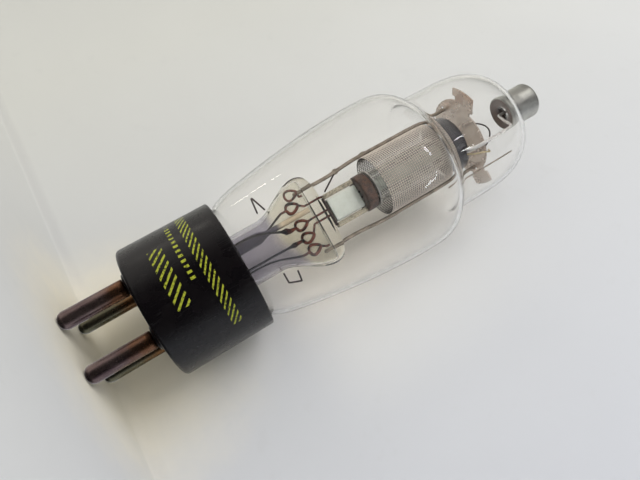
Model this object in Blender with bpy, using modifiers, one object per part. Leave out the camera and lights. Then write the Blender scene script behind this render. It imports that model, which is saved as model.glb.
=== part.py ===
"""Four-pin vacuum tube with a shouldered glass bulb, a woven wire anode and a metal top cap.

The tube stands on the rounded tips of its four pins. Z runs up the tube's axis from the pin tips
to the top cap, X runs across the flat press of the glass stem, and the origin is on the axis at
the level of the pin tips. All sizes are in metres.
"""
from math import asin, cos, exp, pi, radians, sin

import bmesh
import bpy
from mathutils import Vector

# General
CLEARANCE = 0.0003          # gap between pieces that touch
MERGE = 0.00001             # distance below which turned points are joined
ROUND_SEGMENTS = 36         # facets round the bulb and the base
BUSH_SEGMENTS = 24          # facets round the cap and the bushes
SMALL_SEGMENTS = 14         # facets round pins and small rings
DRILL_SEGMENTS = 12         # facets round the holes for wires
WIRE_ROUNDNESS = 1          # bevel resolution of the wires

# Pins
PIN_LENGTH = 0.0156         # from the underside of the base to the tips
LARGE_PIN_RADIUS = 0.00198
SMALL_PIN_RADIUS = 0.00159
PIN_CIRCLE_RADIUS = 0.0086
FIRST_PIN_ANGLE = radians(32.6)
PIN_TIP_FLAT_RADIUS = 0.0009
PIN_TIP_ROUND = 0.0013      # height of the rounded end
PIN_SHOULDER = 0.0005       # step from the shank to the riveted neck
PIN_BORE_RADIUS = 0.0007
PIN_SOLDER_HEIGHT = 0.0040  # solid end of the hollow pin
RIVET_HEAD_OVERHANG = 0.0008
RIVET_HEAD_HEIGHT = 0.0008

# Base
BASE_RADIUS = 0.0151
BASE_HEIGHT = 0.0213
BASE_WALL = 0.0018
BASE_FLOOR = 0.0022
BASE_EDGE_ROUND = 0.0009
RIM_ROUND = 0.0004
BOSS_HEIGHT = 0.0010
BOSS_WALL = 0.0007          # how far a boss stands out round its pin
BOSS_DRAFT = 0.0005
CEMENT_HEIGHT = 0.0042
CEMENT_DEPTH = 0.0016       # from the rim of the base down to the cement

# Bulb
BULB_WALL = 0.0010
BULB_RADIUS = 0.0195
BULB_HEIGHT = 0.0760        # from the rim of the base to the top of the dome
DOME_RADIUS = 0.0149
NECK_DEPTH = 0.0066         # how far the neck goes down inside the base
NECK_DRAFT = 0.0014         # how much the neck narrows on its way down
NECK_FLARE_REACH = 0.0020   # height over which the quick flare above the rim dies out
NECK_FLARE_SHARE = 0.20     # share of the widening that the quick flare takes
BODY_FULLNESS = 1.7         # higher is rounder between the neck and the widest level
WIDEST_HEIGHT = 0.0400      # above the rim
SHOULDER_FOOT_HEIGHT = 0.0506
SHOULDER_LATENESS = 3.5     # higher keeps the width longer before it drops
SHOULDER_FILLET = 0.0003    # softens the corner where the shoulder meets the dome
SHOULDER_STATIONS = (1.08, 1.0, 0.95, 0.87, 0.77, 0.65, 0.50, 0.30)     # shares of the way up
DOME_SPRING_HEIGHT = 0.0570
DOME_SQUARENESS = 3.4
DOME_ROUNDNESS = 0.4
NIPPLE_RADIUS = 0.0017
NIPPLE_HEIGHT = 0.0028

# Glass stem
STEM_RADIUS = 0.0063
STEM_WALL = 0.0010
STEM_FLARE_HEIGHT = 0.0050
STEM_TOP_HEIGHT = 0.0230    # top of the press above the rim of the base
PRESS_HALF_WIDTH = 0.0110
PRESS_HALF_DEPTH = 0.0027
PRESS_BAR_HEIGHT = 0.0030   # solid glass along the top of the press
PRESS_CORNER_ROUND = 0.0034
PRESS_CORNER_END = 0.97     # share of the corner's quarter circle that is used, which leaves a flat top
FLATTEN_START = 0.0075      # above the rim, where the round tube begins to spread
EXHAUST_X = -0.0028
EXHAUST_RADIUS = 0.0015
EXHAUST_NECK_RADIUS = 0.00065
EXHAUST_BORE_RADIUS = 0.0003
EXHAUST_NECK_HEIGHT = 0.0090    # above the rim of the base
EXHAUST_TIP_ABOVE_FLOOR = 0.0030
STEM_FACETS = 28
SECTION_SQUARENESS = 0.35   # how far a fully flat section leaves the ellipse for a box

# Wires
LEAD_RADIUS = 0.00022
LEAD_STEM_RADIUS = 0.0042   # distance of the leads from the axis in the round of the stem
LEAD_LOOP_RADIUS = 0.0010
LEAD_LOOP_PITCH = 0.0009    # how far a turn of a loop moves along Y
LEAD_LOOP_DEPTH = 0.0043    # from the solid bar down to the middle of a lead's loop
TAIL_LOOP_DEPTH = 0.0029    # the same for the loop of the left rod's tail
TAIL_LOOP_BEYOND_ROD = 0.00035
CATHODE_LOOP_X = -0.0050
HEATER_LOOP_1_X = -0.0006
HEATER_LOOP_2_X = 0.0026
ANODE_LOOP_X = 0.0056
LOOP_RUN_IN = 0.0016        # straight run below each loop
LEAD_END_RUN = 0.0014       # straight end below the solid bar
LEAD_START_ABOVE_FLOOR = 0.0030
LEAD_TURN_HEIGHT = 0.0025   # above the end of the neck, where a lead has turned inwards
LEAD_TURN_REACH = 0.0005    # how far outside its run up the stem it still is there
ROD_RADIUS = 0.00045
ROD_PRESS_X = 0.0074
ROD_ANGLE = radians(6)      # how far the rods stand behind the plane of the press
ROD_TAIL = 0.0016           # how far the rods hang below the solid bar
ROD_STRAIGHT_HEIGHT = 0.0030    # above the press, where the rods begin to bend
WELD_HEIGHT = 0.0068        # of the left rod's weld above the press
WELD_HALF_LENGTH = 0.0006
WELD_LUMP = 1.8             # swelling of a rod at a weld
TIE_RADIUS = 0.00020
TIE_DROP = 0.0010           # from the weld down to the start of the tie wire
TIE_SAG = 0.0002
TIE_END_HEIGHT = 0.0012     # above the bottom of the block
THIN_WIRE_RADIUS = 0.00018
HOOK_RISE = 0.0034          # height of an anchor wire beside the stem
HOOK_REACH = 0.0037         # how far it stands out
GRID_LEAD_RADIUS = 0.00040

# Column between the press and the anode
BAND_THICKNESS = 0.0005
BAND_OVERHANG = 0.0007
BLOCK_WIDTH = 0.0056
BLOCK_DEPTH = 0.0034
BLOCK_HEIGHT = 0.0077
BLOCK_EDGE = 0.0004
BLOCK_BORE_RADIUS = 0.0013
RAIL_THICKNESS = 0.0003
RAIL_FLANGE = 0.0011
RAIL_DEPTH = 0.0026
LOWER_BUSH_RADIUS = 0.0045
LOWER_BUSH_HEIGHT = 0.0027
WASHER_THICKNESS = 0.0004
WASHER_OVERHANG = 0.0003

# Anode, grid and cathode
ANODE_RADIUS = 0.0074
ANODE_LENGTH = 0.0193
ANODE_BAR = 0.0006          # thickness of the bars that stand for the woven wire
ANODE_COLUMNS = 16
ANODE_ROWS = 6
ANODE_MOUTH_GAP = 0.0008    # from the washer up to the anode's mouth
CATHODE_RADIUS = 0.0016
CATHODE_WALL = 0.0003
HEATER_RADIUS = 0.00020
HEATER_HALF_WIDTH = 0.0007
HEATER_FOOT_ABOVE_BLOCK_BOTTOM = 0.0030
GRID_ROD_X = 0.0033
GRID_ROD_RADIUS = 0.00035
GRID_WIRE_RADIUS = 0.00012
GRID_TURNS = 7
GRID_TURN_POINTS = 8

# Top of the electrodes
UPPER_BUSH_RADIUS = 0.0069
UPPER_BUSH_HEIGHT = 0.0036
UPPER_BUSH_EDGE = 0.0007
MICA_GAP = 0.0028           # from the bush up to the spacer, which hangs on the rods
MICA_THICKNESS = 0.0004
MICA_TAB_RADIUS = 0.0130
MICA_TAB_HALF_WIDTH = 0.0033
MICA_NECK_HALF_WIDTH = 0.0024   # of a tab between the two notches at its root
MICA_NOTCH = 0.0011         # length of a notch along the tab
MICA_TAB_ANGLES = (radians(2.6), radians(117), radians(229))
MICA_RIM_RADII = ((0.0094, 0.0094), (0.0100, 0.0100), (0.0080, 0.0092))     # the rim after each tab
ROD_END_ABOVE_MICA = 0.0016
GETTER_ARCH_HEIGHT = 0.0048
GETTER_LEFT = (-0.0018, -0.0038)
GETTER_RIGHT = (0.0052, -0.0038)
GETTER_SQUARENESS = 0.6     # lower is a squarer arch
STAY_WIRE_DROP = 0.0053     # from the top of the dome down to the wire's end
STAY_WIRE_LENGTH = 0.0190
STRAP_LAP = 0.0006          # how far the strap reaches in over the spacer's rim

# Top cap
CAP_RADIUS = 0.00445
CAP_HEIGHT = 0.0081
CAP_WALL = 0.0004
CAP_EDGE_ROUND = 0.0007
CAP_CEMENT_HEIGHT = 0.0035

# Levels above the pin tips
BASE_BOTTOM = PIN_LENGTH
BASE_RIM = BASE_BOTTOM + BASE_HEIGHT
FLOOR_TOP = BASE_BOTTOM + BASE_FLOOR
STEM_TOP = BASE_RIM + STEM_TOP_HEIGHT
PRESS_UNDERSIDE = STEM_TOP - PRESS_BAR_HEIGHT
BAND_BOTTOM = STEM_TOP + CLEARANCE
BLOCK_BOTTOM = BAND_BOTTOM + BAND_THICKNESS + CLEARANCE
BLOCK_TOP = BLOCK_BOTTOM + BLOCK_HEIGHT
LOWER_BUSH_BOTTOM = BLOCK_TOP + CLEARANCE
LOWER_BUSH_TOP = LOWER_BUSH_BOTTOM + LOWER_BUSH_HEIGHT
WASHER_BOTTOM = LOWER_BUSH_TOP + CLEARANCE
WASHER_TOP = WASHER_BOTTOM + WASHER_THICKNESS
ANODE_BOTTOM = WASHER_TOP + ANODE_MOUTH_GAP
ANODE_TOP = ANODE_BOTTOM + ANODE_LENGTH
UPPER_BUSH_BOTTOM = ANODE_TOP + CLEARANCE
UPPER_BUSH_TOP = UPPER_BUSH_BOTTOM + UPPER_BUSH_HEIGHT
MICA_BOTTOM = UPPER_BUSH_TOP + MICA_GAP
MICA_TOP = MICA_BOTTOM + MICA_THICKNESS
BULB_TOP = BASE_RIM + BULB_HEIGHT
NECK_RADIUS = BASE_RADIUS - BASE_WALL - CLEARANCE
NECK_BOTTOM = BASE_RIM - NECK_DEPTH
ROD_CIRCLE_RADIUS = ANODE_RADIUS + ANODE_BAR / 2 + CLEARANCE + ROD_RADIUS

# Colour, metallic and roughness of each finish
FINISHES = {
    "phenolic": ((0.035, 0.028, 0.026), 0.0, 0.42),
    "tarnished_brass": ((0.28, 0.20, 0.15), 0.8, 0.38),
    "cement": ((0.11, 0.075, 0.058), 0.0, 0.85),
    "clear_glass": ((0.86, 0.87, 0.84), 0.0, 0.05),
    "stem_glass": ((0.66, 0.69, 0.75), 0.0, 0.08),
    "copper_lead": ((0.42, 0.16, 0.11), 0.9, 0.40),
    "nickel": ((0.62, 0.60, 0.56), 1.0, 0.28),
    "dull_nickel": ((0.30, 0.27, 0.23), 0.9, 0.45),
    "dark_steel": ((0.06, 0.045, 0.04), 0.6, 0.45),
    "white_ceramic": ((0.80, 0.84, 0.78), 0.0, 0.55),
    "brown_ceramic": ((0.13, 0.085, 0.06), 0.0, 0.45),
    "gauze": ((0.46, 0.42, 0.36), 0.9, 0.38),
    "mica": ((0.62, 0.48, 0.40), 0.0, 0.18),
    "cap_metal": ((0.72, 0.72, 0.68), 1.0, 0.24),
}


def clear_scene():
    """Remove whatever the file holds, so that the tube is built from nothing."""
    for thing in list(bpy.data.objects):
        bpy.data.objects.remove(thing, do_unlink=True)


def new_collection(name):
    collection = bpy.data.collections.new(name)
    bpy.context.scene.collection.children.link(collection)
    return collection


clear_scene()
TUBE = new_collection("vacuum_tube")
CUTTERS = new_collection("cutters")


def finish_material(name):
    """The named finish as a Principled material, made the first time it is asked for."""
    material = bpy.data.materials.get(name)
    if material is None:
        colour, metallic, roughness = FINISHES[name]
        material = bpy.data.materials.new(name)
        material.use_nodes = True
        shader = material.node_tree.nodes["Principled BSDF"]
        shader.inputs["Base Color"].default_value = (*colour, 1.0)
        shader.inputs["Metallic"].default_value = metallic
        shader.inputs["Roughness"].default_value = roughness
        material.diffuse_color = (*colour, 1.0)
    return material


def place(name, data, finish, collection=TUBE):
    """Put mesh or curve data into the scene under the piece's own name."""
    body = bpy.data.objects.new(name, data)
    data.materials.append(finish_material(finish))
    collection.objects.link(body)
    return body


def cut(body, cutter, operation="DIFFERENCE"):
    """Join or cut the body with a hidden cutter."""
    cutter.hide_render = True
    cutter.display_type = "WIRE"
    boolean = body.modifiers.new(cutter.name, "BOOLEAN")
    boolean.operation = operation
    boolean.object = cutter
    boolean.solver = "EXACT"


def turned(name, profile, finish, segments=SMALL_SEGMENTS, closed=False, collection=TUBE):
    """A turned body: the (radius, height) profile starts inside at the top and runs down its outer side."""
    last = len(profile) - 1
    edges = [(i, i + 1) for i in range(last)] + ([(last, 0)] if closed else [])
    mesh = bpy.data.meshes.new(name)
    mesh.from_pydata([(radius, 0.0, height) for radius, height in profile], edges, [])
    body = place(name, mesh, finish, collection)
    screw = body.modifiers.new("Turn", "SCREW")
    screw.axis = "Z"
    screw.steps = screw.render_steps = segments
    screw.use_merge_vertices = True
    screw.merge_threshold = MERGE
    screw.use_smooth_shade = True
    return body


def ring(name, inner, outer, bottom, top, finish, segments=SMALL_SEGMENTS, collection=TUBE):
    """A plain turned ring, washer or tube."""
    profile = [(inner, top), (outer, top), (outer, bottom), (inner, bottom)]
    return turned(name, profile, finish, segments, closed=True, collection=collection)


def arc(centre, radius_r, radius_z, start, end, steps):
    """Points of an elliptical arc in the (radius, height) plane, from start to end in degrees."""
    angles = [radians(start + (end - start) * i / steps) for i in range(steps + 1)]
    return [(centre[0] + radius_r * cos(a), centre[1] + radius_z * sin(a)) for a in angles]


def wire(name, points, radius, finish, swellings=None):
    """A round wire through the points, with filled ends; swellings gives the point radii that aren't 1."""
    curve = bpy.data.curves.new(name, "CURVE")
    curve.dimensions = "3D"
    curve.bevel_depth = radius
    curve.bevel_resolution = WIRE_ROUNDNESS
    curve.use_fill_caps = True
    spline = curve.splines.new("POLY")
    spline.points.add(len(points) - 1)
    for i, (point, position) in enumerate(zip(spline.points, points)):
        point.co = (*position, 1.0)
        point.radius = (swellings or {}).get(i, 1.0)
    return place(name, curve, finish)


def smooth_route(points, steps):
    """A smooth line through the points, with so many steps from each to the next."""
    knots = [Vector(p) for p in points]
    knots = [2 * knots[0] - knots[1]] + knots + [2 * knots[-1] - knots[-2]]
    route = []
    for a, b, c, d in zip(knots, knots[1:], knots[2:], knots[3:]):
        for i in range(steps):
            t = i / steps
            bend = (2 * a - 5 * b + 4 * c - d) * t * t + (3 * b - a - 3 * c + d) * t ** 3
            route.append(b + ((c - a) * t + bend) / 2)
    return route + [knots[-2]]


def smooth_step(t):
    t = min(max(t, 0.0), 1.0)
    return t * t * (3 - 2 * t)


def on_circle(radius, angle, height):
    return Vector((radius * cos(angle), radius * sin(angle), height))


# Pins

def pin_places():
    """Name, radius and angle of each pin: the two small ones stand side by side, and so do the large."""
    quarter = pi / 2
    return [
        ("small_pin_1", SMALL_PIN_RADIUS, FIRST_PIN_ANGLE),
        ("small_pin_2", SMALL_PIN_RADIUS, FIRST_PIN_ANGLE + quarter),
        ("large_pin_1", LARGE_PIN_RADIUS, FIRST_PIN_ANGLE + 2 * quarter),
        ("large_pin_2", LARGE_PIN_RADIUS, FIRST_PIN_ANGLE + 3 * quarter),
    ]


def build_pins():
    """Hollow pins with a rounded, soldered tip, riveted through the floor of the base."""
    for name, radius, angle in pin_places():
        neck = radius - PIN_SHOULDER
        head = neck + RIVET_HEAD_OVERHANG
        head_bottom = FLOOR_TOP + CLEARANCE
        head_top = head_bottom + RIVET_HEAD_HEIGHT
        shoulder = BASE_BOTTOM - BOSS_HEIGHT - CLEARANCE
        tip_centre = (PIN_TIP_FLAT_RADIUS, PIN_TIP_ROUND)
        tip = arc(tip_centre, radius - PIN_TIP_FLAT_RADIUS, PIN_TIP_ROUND, 0, -90, 3)
        profile = [
            (0.0, PIN_SOLDER_HEIGHT),
            (PIN_BORE_RADIUS, PIN_SOLDER_HEIGHT),
            (PIN_BORE_RADIUS, head_top),
            (head, head_top),
            (head, head_bottom),
            (neck, head_bottom),
            (neck, shoulder),
            (radius, shoulder),
            *tip,
            (0.0, 0.0),
        ]
        pin = turned(name, profile, "tarnished_brass")
        pin.location = on_circle(PIN_CIRCLE_RADIUS, angle, 0.0)


# Base

def build_base_shell():
    """Moulded cup with a rounded foot, a boss round each pin and the pins' holes."""
    inner = BASE_RADIUS - BASE_WALL
    rim = arc((BASE_RADIUS - RIM_ROUND, BASE_RIM - RIM_ROUND), RIM_ROUND, RIM_ROUND, 90, 0, 2)
    foot = arc((BASE_RADIUS - BASE_EDGE_ROUND, BASE_BOTTOM + BASE_EDGE_ROUND),
               BASE_EDGE_ROUND, BASE_EDGE_ROUND, 0, -90, 3)
    profile = [(0.0, FLOOR_TOP), (inner, FLOOR_TOP), (inner, BASE_RIM), *rim, *foot, (0.0, BASE_BOTTOM)]
    shell = turned("base_shell", profile, "phenolic", ROUND_SEGMENTS)
    for name, radius, angle in pin_places():
        top = BASE_BOTTOM + BASE_FLOOR / 2
        bottom = BASE_BOTTOM - BOSS_HEIGHT
        foot_radius = radius + BOSS_WALL
        boss_profile = [(0.0, top), (foot_radius + BOSS_DRAFT, top),
                        (foot_radius + BOSS_DRAFT, BASE_BOTTOM), (foot_radius, bottom), (0.0, bottom)]
        boss = turned("boss_" + name, boss_profile, "phenolic", collection=CUTTERS)
        hole_radius = radius - PIN_SHOULDER + CLEARANCE
        hole_profile = [(0.0, FLOOR_TOP + BASE_FLOOR), (hole_radius, FLOOR_TOP + BASE_FLOOR),
                        (hole_radius, bottom - BOSS_HEIGHT), (0.0, bottom - BOSS_HEIGHT)]
        hole = turned("hole_" + name, hole_profile, "phenolic", collection=CUTTERS)
        for cutter, operation in ((boss, "UNION"), (hole, "DIFFERENCE")):
            cutter.location = on_circle(PIN_CIRCLE_RADIUS, angle, 0.0)
            cut(shell, cutter, operation)


def build_base_cement():
    """The ring of cement that holds the bulb's neck in the base."""
    top = BASE_RIM - CEMENT_DEPTH
    ring("base_cement", neck_radius_at(-CEMENT_DEPTH) + CLEARANCE, BASE_RADIUS - BASE_WALL - CLEARANCE,
         top - CEMENT_HEIGHT, top, "cement", ROUND_SEGMENTS)


# Bulb

def neck_radius_at(height):
    """Outer radius of the neck at a height, zero or less, above the rim of the base."""
    return NECK_RADIUS - NECK_DRAFT * smooth_step(-height / (NECK_DEPTH / 2))


def body_radius_at(height):
    """Outer radius between the rim and the widest level: a quick flare, then a slow swelling."""
    t = height / WIDEST_HEIGHT
    quick = 1 - exp(-height / NECK_FLARE_REACH)
    slow = 1 - (1 - t) ** BODY_FULLNESS
    share = NECK_FLARE_SHARE * quick + (1 - NECK_FLARE_SHARE) * slow
    return NECK_RADIUS + (BULB_RADIUS - NECK_RADIUS) * share


def shoulder_radius_at(height):
    """Outer radius of the shoulder, which rolls over ever steeper and meets the dome in a small fillet."""
    t = (height - WIDEST_HEIGHT) / (SHOULDER_FOOT_HEIGHT - WIDEST_HEIGHT)
    above = (BULB_RADIUS - DOME_RADIUS) * (1 - t ** SHOULDER_LATENESS)
    filleted = (above + (above * above + 4 * SHOULDER_FILLET ** 2) ** 0.5) / 2
    return min(DOME_RADIUS + filleted, BULB_RADIUS)


def dome_radius_at(height):
    """Outer radius of the dome: a squarish ellipse that closes at the top."""
    t = (height - DOME_SPRING_HEIGHT) / (BULB_HEIGHT - DOME_SPRING_HEIGHT)
    return DOME_RADIUS * (1 - max(t, 0.0) ** DOME_SQUARENESS) ** DOME_ROUNDNESS


def dome_height_at(radius):
    """Height above the rim at which the dome has the given outer radius."""
    t = (1 - (radius / DOME_RADIUS) ** (1 / DOME_ROUNDNESS)) ** (1 / DOME_SQUARENESS)
    return DOME_SPRING_HEIGHT + (BULB_HEIGHT - DOME_SPRING_HEIGHT) * t


def bulb_profile():
    """Outer line of the bulb, from the top of the nipple down to the end of the neck."""
    nipple_foot = BULB_HEIGHT + CLEARANCE
    line = [(NIPPLE_RADIUS, nipple_foot + NIPPLE_HEIGHT), (NIPPLE_RADIUS, nipple_foot)]
    dome_top = dome_height_at(NIPPLE_RADIUS * 2)
    for share in (0.0, 0.06, 0.15, 0.30, 0.58):
        height = dome_top - (dome_top - DOME_SPRING_HEIGHT) * share
        line.append((dome_radius_at(height), height))
    for share in SHOULDER_STATIONS:
        height = WIDEST_HEIGHT + (SHOULDER_FOOT_HEIGHT - WIDEST_HEIGHT) * share
        line.append((shoulder_radius_at(height), height))
    for share in (1.0, 0.72, 0.45, 0.21, 0.07, 0.0):
        height = WIDEST_HEIGHT * share
        line.append((body_radius_at(height), height))
    for share in (0.3, 1.0):
        line.append((neck_radius_at(-NECK_DEPTH * share), -NECK_DEPTH * share))
    return [(radius, BASE_RIM + height) for radius, height in line]


def build_bulb():
    """Blown bulb of even wall, open at the neck and along the bore of the nipple."""
    bulb = turned("glass_bulb", bulb_profile(), "clear_glass", ROUND_SEGMENTS)
    wall = bulb.modifiers.new("Wall", "SOLIDIFY")
    wall.thickness = BULB_WALL
    wall.offset = -1.0
    wall.use_even_offset = True


# Glass stem

def stem_size_at(height):
    """Half width and half depth of the stem's outer section at a height above the rim of the base."""
    bottom = -NECK_DEPTH
    flare = 1 - smooth_step((height - bottom) / STEM_FLARE_HEIGHT)
    flare_radius = neck_radius_at(bottom) - BULB_WALL - CLEARANCE
    round_radius = STEM_RADIUS + (flare_radius - STEM_RADIUS) * flare
    widest = STEM_TOP_HEIGHT - PRESS_CORNER_ROUND
    spread = smooth_step((height - FLATTEN_START) / (widest - FLATTEN_START))
    half_width = round_radius + (PRESS_HALF_WIDTH - round_radius) * spread
    half_depth = round_radius + (PRESS_HALF_DEPTH - round_radius) * spread
    above = PRESS_CORNER_END * max(height - widest, 0.0) / PRESS_CORNER_ROUND
    half_width -= PRESS_CORNER_ROUND * (1 - max(1 - above * above, 0.0) ** 0.5)
    return half_width, half_depth


def stem_section(height, inset):
    """Points round the stem at a height, drawn in by the inset; the flat press has squarer corners."""
    half_width, half_depth = stem_size_at(height)
    flatness = 1 - half_depth / half_width
    power = 1 - SECTION_SQUARENESS * flatness
    points = []
    for i in range(STEM_FACETS):
        angle = 2 * pi * i / STEM_FACETS
        across = abs(cos(angle)) ** power * (half_width - inset)
        along = abs(sin(angle)) ** power * (half_depth - inset)
        points.append((across if cos(angle) >= 0 else -across,
                       along if sin(angle) >= 0 else -along, BASE_RIM + height))
    return points


def lofted(name, sections, finish, collection=TUBE):
    """A closed body through sections of equal point count, given from the bottom up."""
    shape = bmesh.new()
    rings = [[shape.verts.new(point) for point in section] for section in sections]
    count = len(rings[0])
    for lower, upper in zip(rings, rings[1:]):
        for i in range(count):
            j = (i + 1) % count
            shape.faces.new((lower[i], lower[j], upper[j], upper[i]))
    shape.faces.new(reversed(rings[0]))
    shape.faces.new(rings[-1])
    for face in shape.faces:
        face.smooth = True
    mesh = bpy.data.meshes.new(name)
    shape.to_mesh(mesh)
    shape.free()
    return place(name, mesh, finish, collection)


def build_stem():
    """One glass piece: a flared tube that spreads into a flat press with a solid bar along its top."""
    bottom = -NECK_DEPTH
    widest = STEM_TOP_HEIGHT - PRESS_CORNER_ROUND
    flare = [bottom + STEM_FLARE_HEIGHT * share for share in (0.0, 0.3, 0.6, 1.0)]
    fan = [FLATTEN_START + (widest - FLATTEN_START) * share for share in (0.0, 0.25, 0.5, 0.75, 1.0)]
    top = [widest + PRESS_CORNER_ROUND * share for share in (0.45, 0.8, 1.0)]
    stem = lofted("glass_stem", [stem_section(h, 0.0) for h in flare + fan + top], "stem_glass")
    hollow_levels = [bottom - STEM_WALL] + flare[1:] + fan
    hollow_levels += [STEM_TOP_HEIGHT - PRESS_BAR_HEIGHT]
    hollow = lofted("stem_hollow", [stem_section(h, STEM_WALL) for h in hollow_levels], "stem_glass", CUTTERS)
    cut(stem, hollow)
    for x, radius in press_wires():
        drill(stem, x, 0.0, radius, PRESS_UNDERSIDE - STEM_WALL, STEM_TOP + STEM_WALL)


def drill(body, x, y, radius, bottom, top):
    """Cut a round hole with clearance round a wire or tube of the given radius."""
    size = radius + CLEARANCE
    profile = [(0.0, top), (size, top), (size, bottom), (0.0, bottom)]
    bit = turned("bit", profile, "clear_glass", DRILL_SEGMENTS, collection=CUTTERS)
    bit.location = (x, y, 0.0)
    cut(body, bit)


def press_wires():
    """Place across the press and radius of every wire that passes through its solid bar."""
    return [(-ROD_PRESS_X, ROD_RADIUS), (-rail_x(), LEAD_RADIUS), (-HEATER_HALF_WIDTH, LEAD_RADIUS),
            (HEATER_HALF_WIDTH, LEAD_RADIUS), (ROD_PRESS_X, ROD_RADIUS)]


def build_exhaust_tube():
    """The tube through which the bulb was emptied, tipped off inside the base and narrow in the press."""
    bottom = FLOOR_TOP + EXHAUST_TIP_ABOVE_FLOOR
    neck = BASE_RIM + EXHAUST_NECK_HEIGHT
    top = PRESS_UNDERSIDE - CLEARANCE
    tip = arc((0.0, bottom + EXHAUST_RADIUS), EXHAUST_RADIUS, EXHAUST_RADIUS, 0, -90, 3)
    profile = [(0.0, bottom + 2 * EXHAUST_RADIUS), (EXHAUST_BORE_RADIUS, bottom + 2 * EXHAUST_RADIUS),
               (EXHAUST_BORE_RADIUS, top), (EXHAUST_NECK_RADIUS, top), (EXHAUST_NECK_RADIUS, neck),
               (EXHAUST_RADIUS, neck - 2 * EXHAUST_RADIUS), *tip[:-1], (0.0, bottom)]
    tube = turned("exhaust_tube", profile, "stem_glass")
    tube.location.x = EXHAUST_X


# Leads

def lead_loop(middle_x, depth=LEAD_LOOP_DEPTH):
    """One and a half turns of a wire loop that stands flat in the press, entered from below."""
    points = []
    for step in range(13):
        angle = radians(-90 + 45 * step)
        points.append(Vector((
            middle_x + LEAD_LOOP_RADIUS * cos(angle),
            LEAD_LOOP_PITCH * (step / 8 - 0.75),
            PRESS_UNDERSIDE - depth + LEAD_LOOP_RADIUS * sin(angle),
        )))
    return points


def rail_x():
    """Place across the press of the lead that ends under the outer edge of a side rail."""
    return BLOCK_WIDTH / 2 + CLEARANCE + RAIL_FLANGE - LEAD_RADIUS


def build_leads():
    """Each lead runs from inside its pin up the stem, round a loop and out through the press."""
    ends = {
        "small_pin_2": ("cathode_lead", CATHODE_LOOP_X, -rail_x(), BLOCK_BOTTOM - CLEARANCE),
        "large_pin_1": ("heater_lead_1", HEATER_LOOP_1_X, -HEATER_HALF_WIDTH, heater_foot() - CLEARANCE),
        "large_pin_2": ("heater_lead_2", HEATER_LOOP_2_X, HEATER_HALF_WIDTH, heater_foot() - CLEARANCE),
        "small_pin_1": ("anode_lead", ANODE_LOOP_X, beside_rod(1), PRESS_UNDERSIDE - CLEARANCE - LEAD_RADIUS),
    }
    for pin, _, angle in pin_places():
        name, loop_x, end_x, end_height = ends[pin]
        loop = lead_loop(loop_x)
        low = loop[0] - Vector((0.0, 0.0, LOOP_RUN_IN))
        knots = [
            on_circle(PIN_CIRCLE_RADIUS, angle, FLOOR_TOP + LEAD_START_ABOVE_FLOOR),
            on_circle(LEAD_STEM_RADIUS + LEAD_TURN_REACH, angle, NECK_BOTTOM + LEAD_TURN_HEIGHT),
            on_circle(LEAD_STEM_RADIUS, angle, BASE_RIM + FLATTEN_START - 2 * LEAD_LOOP_RADIUS),
            low,
        ]
        route = [on_circle(PIN_CIRCLE_RADIUS, angle, PIN_SOLDER_HEIGHT + CLEARANCE)]
        route += smooth_route(knots, 3) + loop
        route.append(Vector((end_x, 0.0, PRESS_UNDERSIDE - LEAD_END_RUN)))
        route.append(Vector((end_x, 0.0, end_height)))
        wire(name, route, LEAD_RADIUS, "copper_lead")


def heater_foot():
    """Height at which the heater's legs meet their leads, inside the ceramic block."""
    return BLOCK_BOTTOM + HEATER_FOOT_ABOVE_BLOCK_BOTTOM


def beside_rod(side):
    """Place across the press of a lead that is welded to the inner side of a rod's foot."""
    return side * (ROD_PRESS_X - ROD_RADIUS - LEAD_RADIUS - CLEARANCE)


def build_rod_tail():
    """The looped tail wire that hangs below the left rod, inside the press."""
    height = PRESS_UNDERSIDE - CLEARANCE - LEAD_RADIUS
    route = lead_loop(-ROD_PRESS_X - TAIL_LOOP_BEYOND_ROD, TAIL_LOOP_DEPTH)[2:]
    route += [Vector((beside_rod(-1), 0.0, height - LEAD_END_RUN)), Vector((beside_rod(-1), 0.0, height))]
    wire("rod_tail_wire", route, LEAD_RADIUS, "copper_lead")


def build_stem_hooks():
    """Bent anchor wires that stand out on both sides of the stem."""
    foot = BASE_RIM + FLATTEN_START
    off_stem = CLEARANCE + THIN_WIRE_RADIUS
    high_seat = stem_size_at(FLATTEN_START + HOOK_RISE)[0] + off_stem
    wire("stem_hook_1", [
        Vector((-high_seat, 0.0, foot + HOOK_RISE)),
        Vector((-high_seat - HOOK_REACH, -0.0006, foot + 0.6 * HOOK_RISE)),
        Vector((-high_seat, -0.0012, foot + 0.4 * HOOK_RISE)),
    ], THIN_WIRE_RADIUS, "dull_nickel")
    seat = stem_size_at(FLATTEN_START)[0] + off_stem
    wire("stem_hook_2", [
        Vector((seat, 0.0, foot)),
        Vector((seat + 0.7 * HOOK_REACH, 0.0, foot)),
        Vector((seat + HOOK_REACH, 0.0, foot + 0.8 * HOOK_RISE)),
        Vector((high_seat + 0.2 * HOOK_REACH, 0.0, foot + 0.9 * HOOK_RISE)),
    ], THIN_WIRE_RADIUS, "dull_nickel")


# Rods

def rod_angle(side):
    return ROD_ANGLE if side > 0 else pi - ROD_ANGLE


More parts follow.
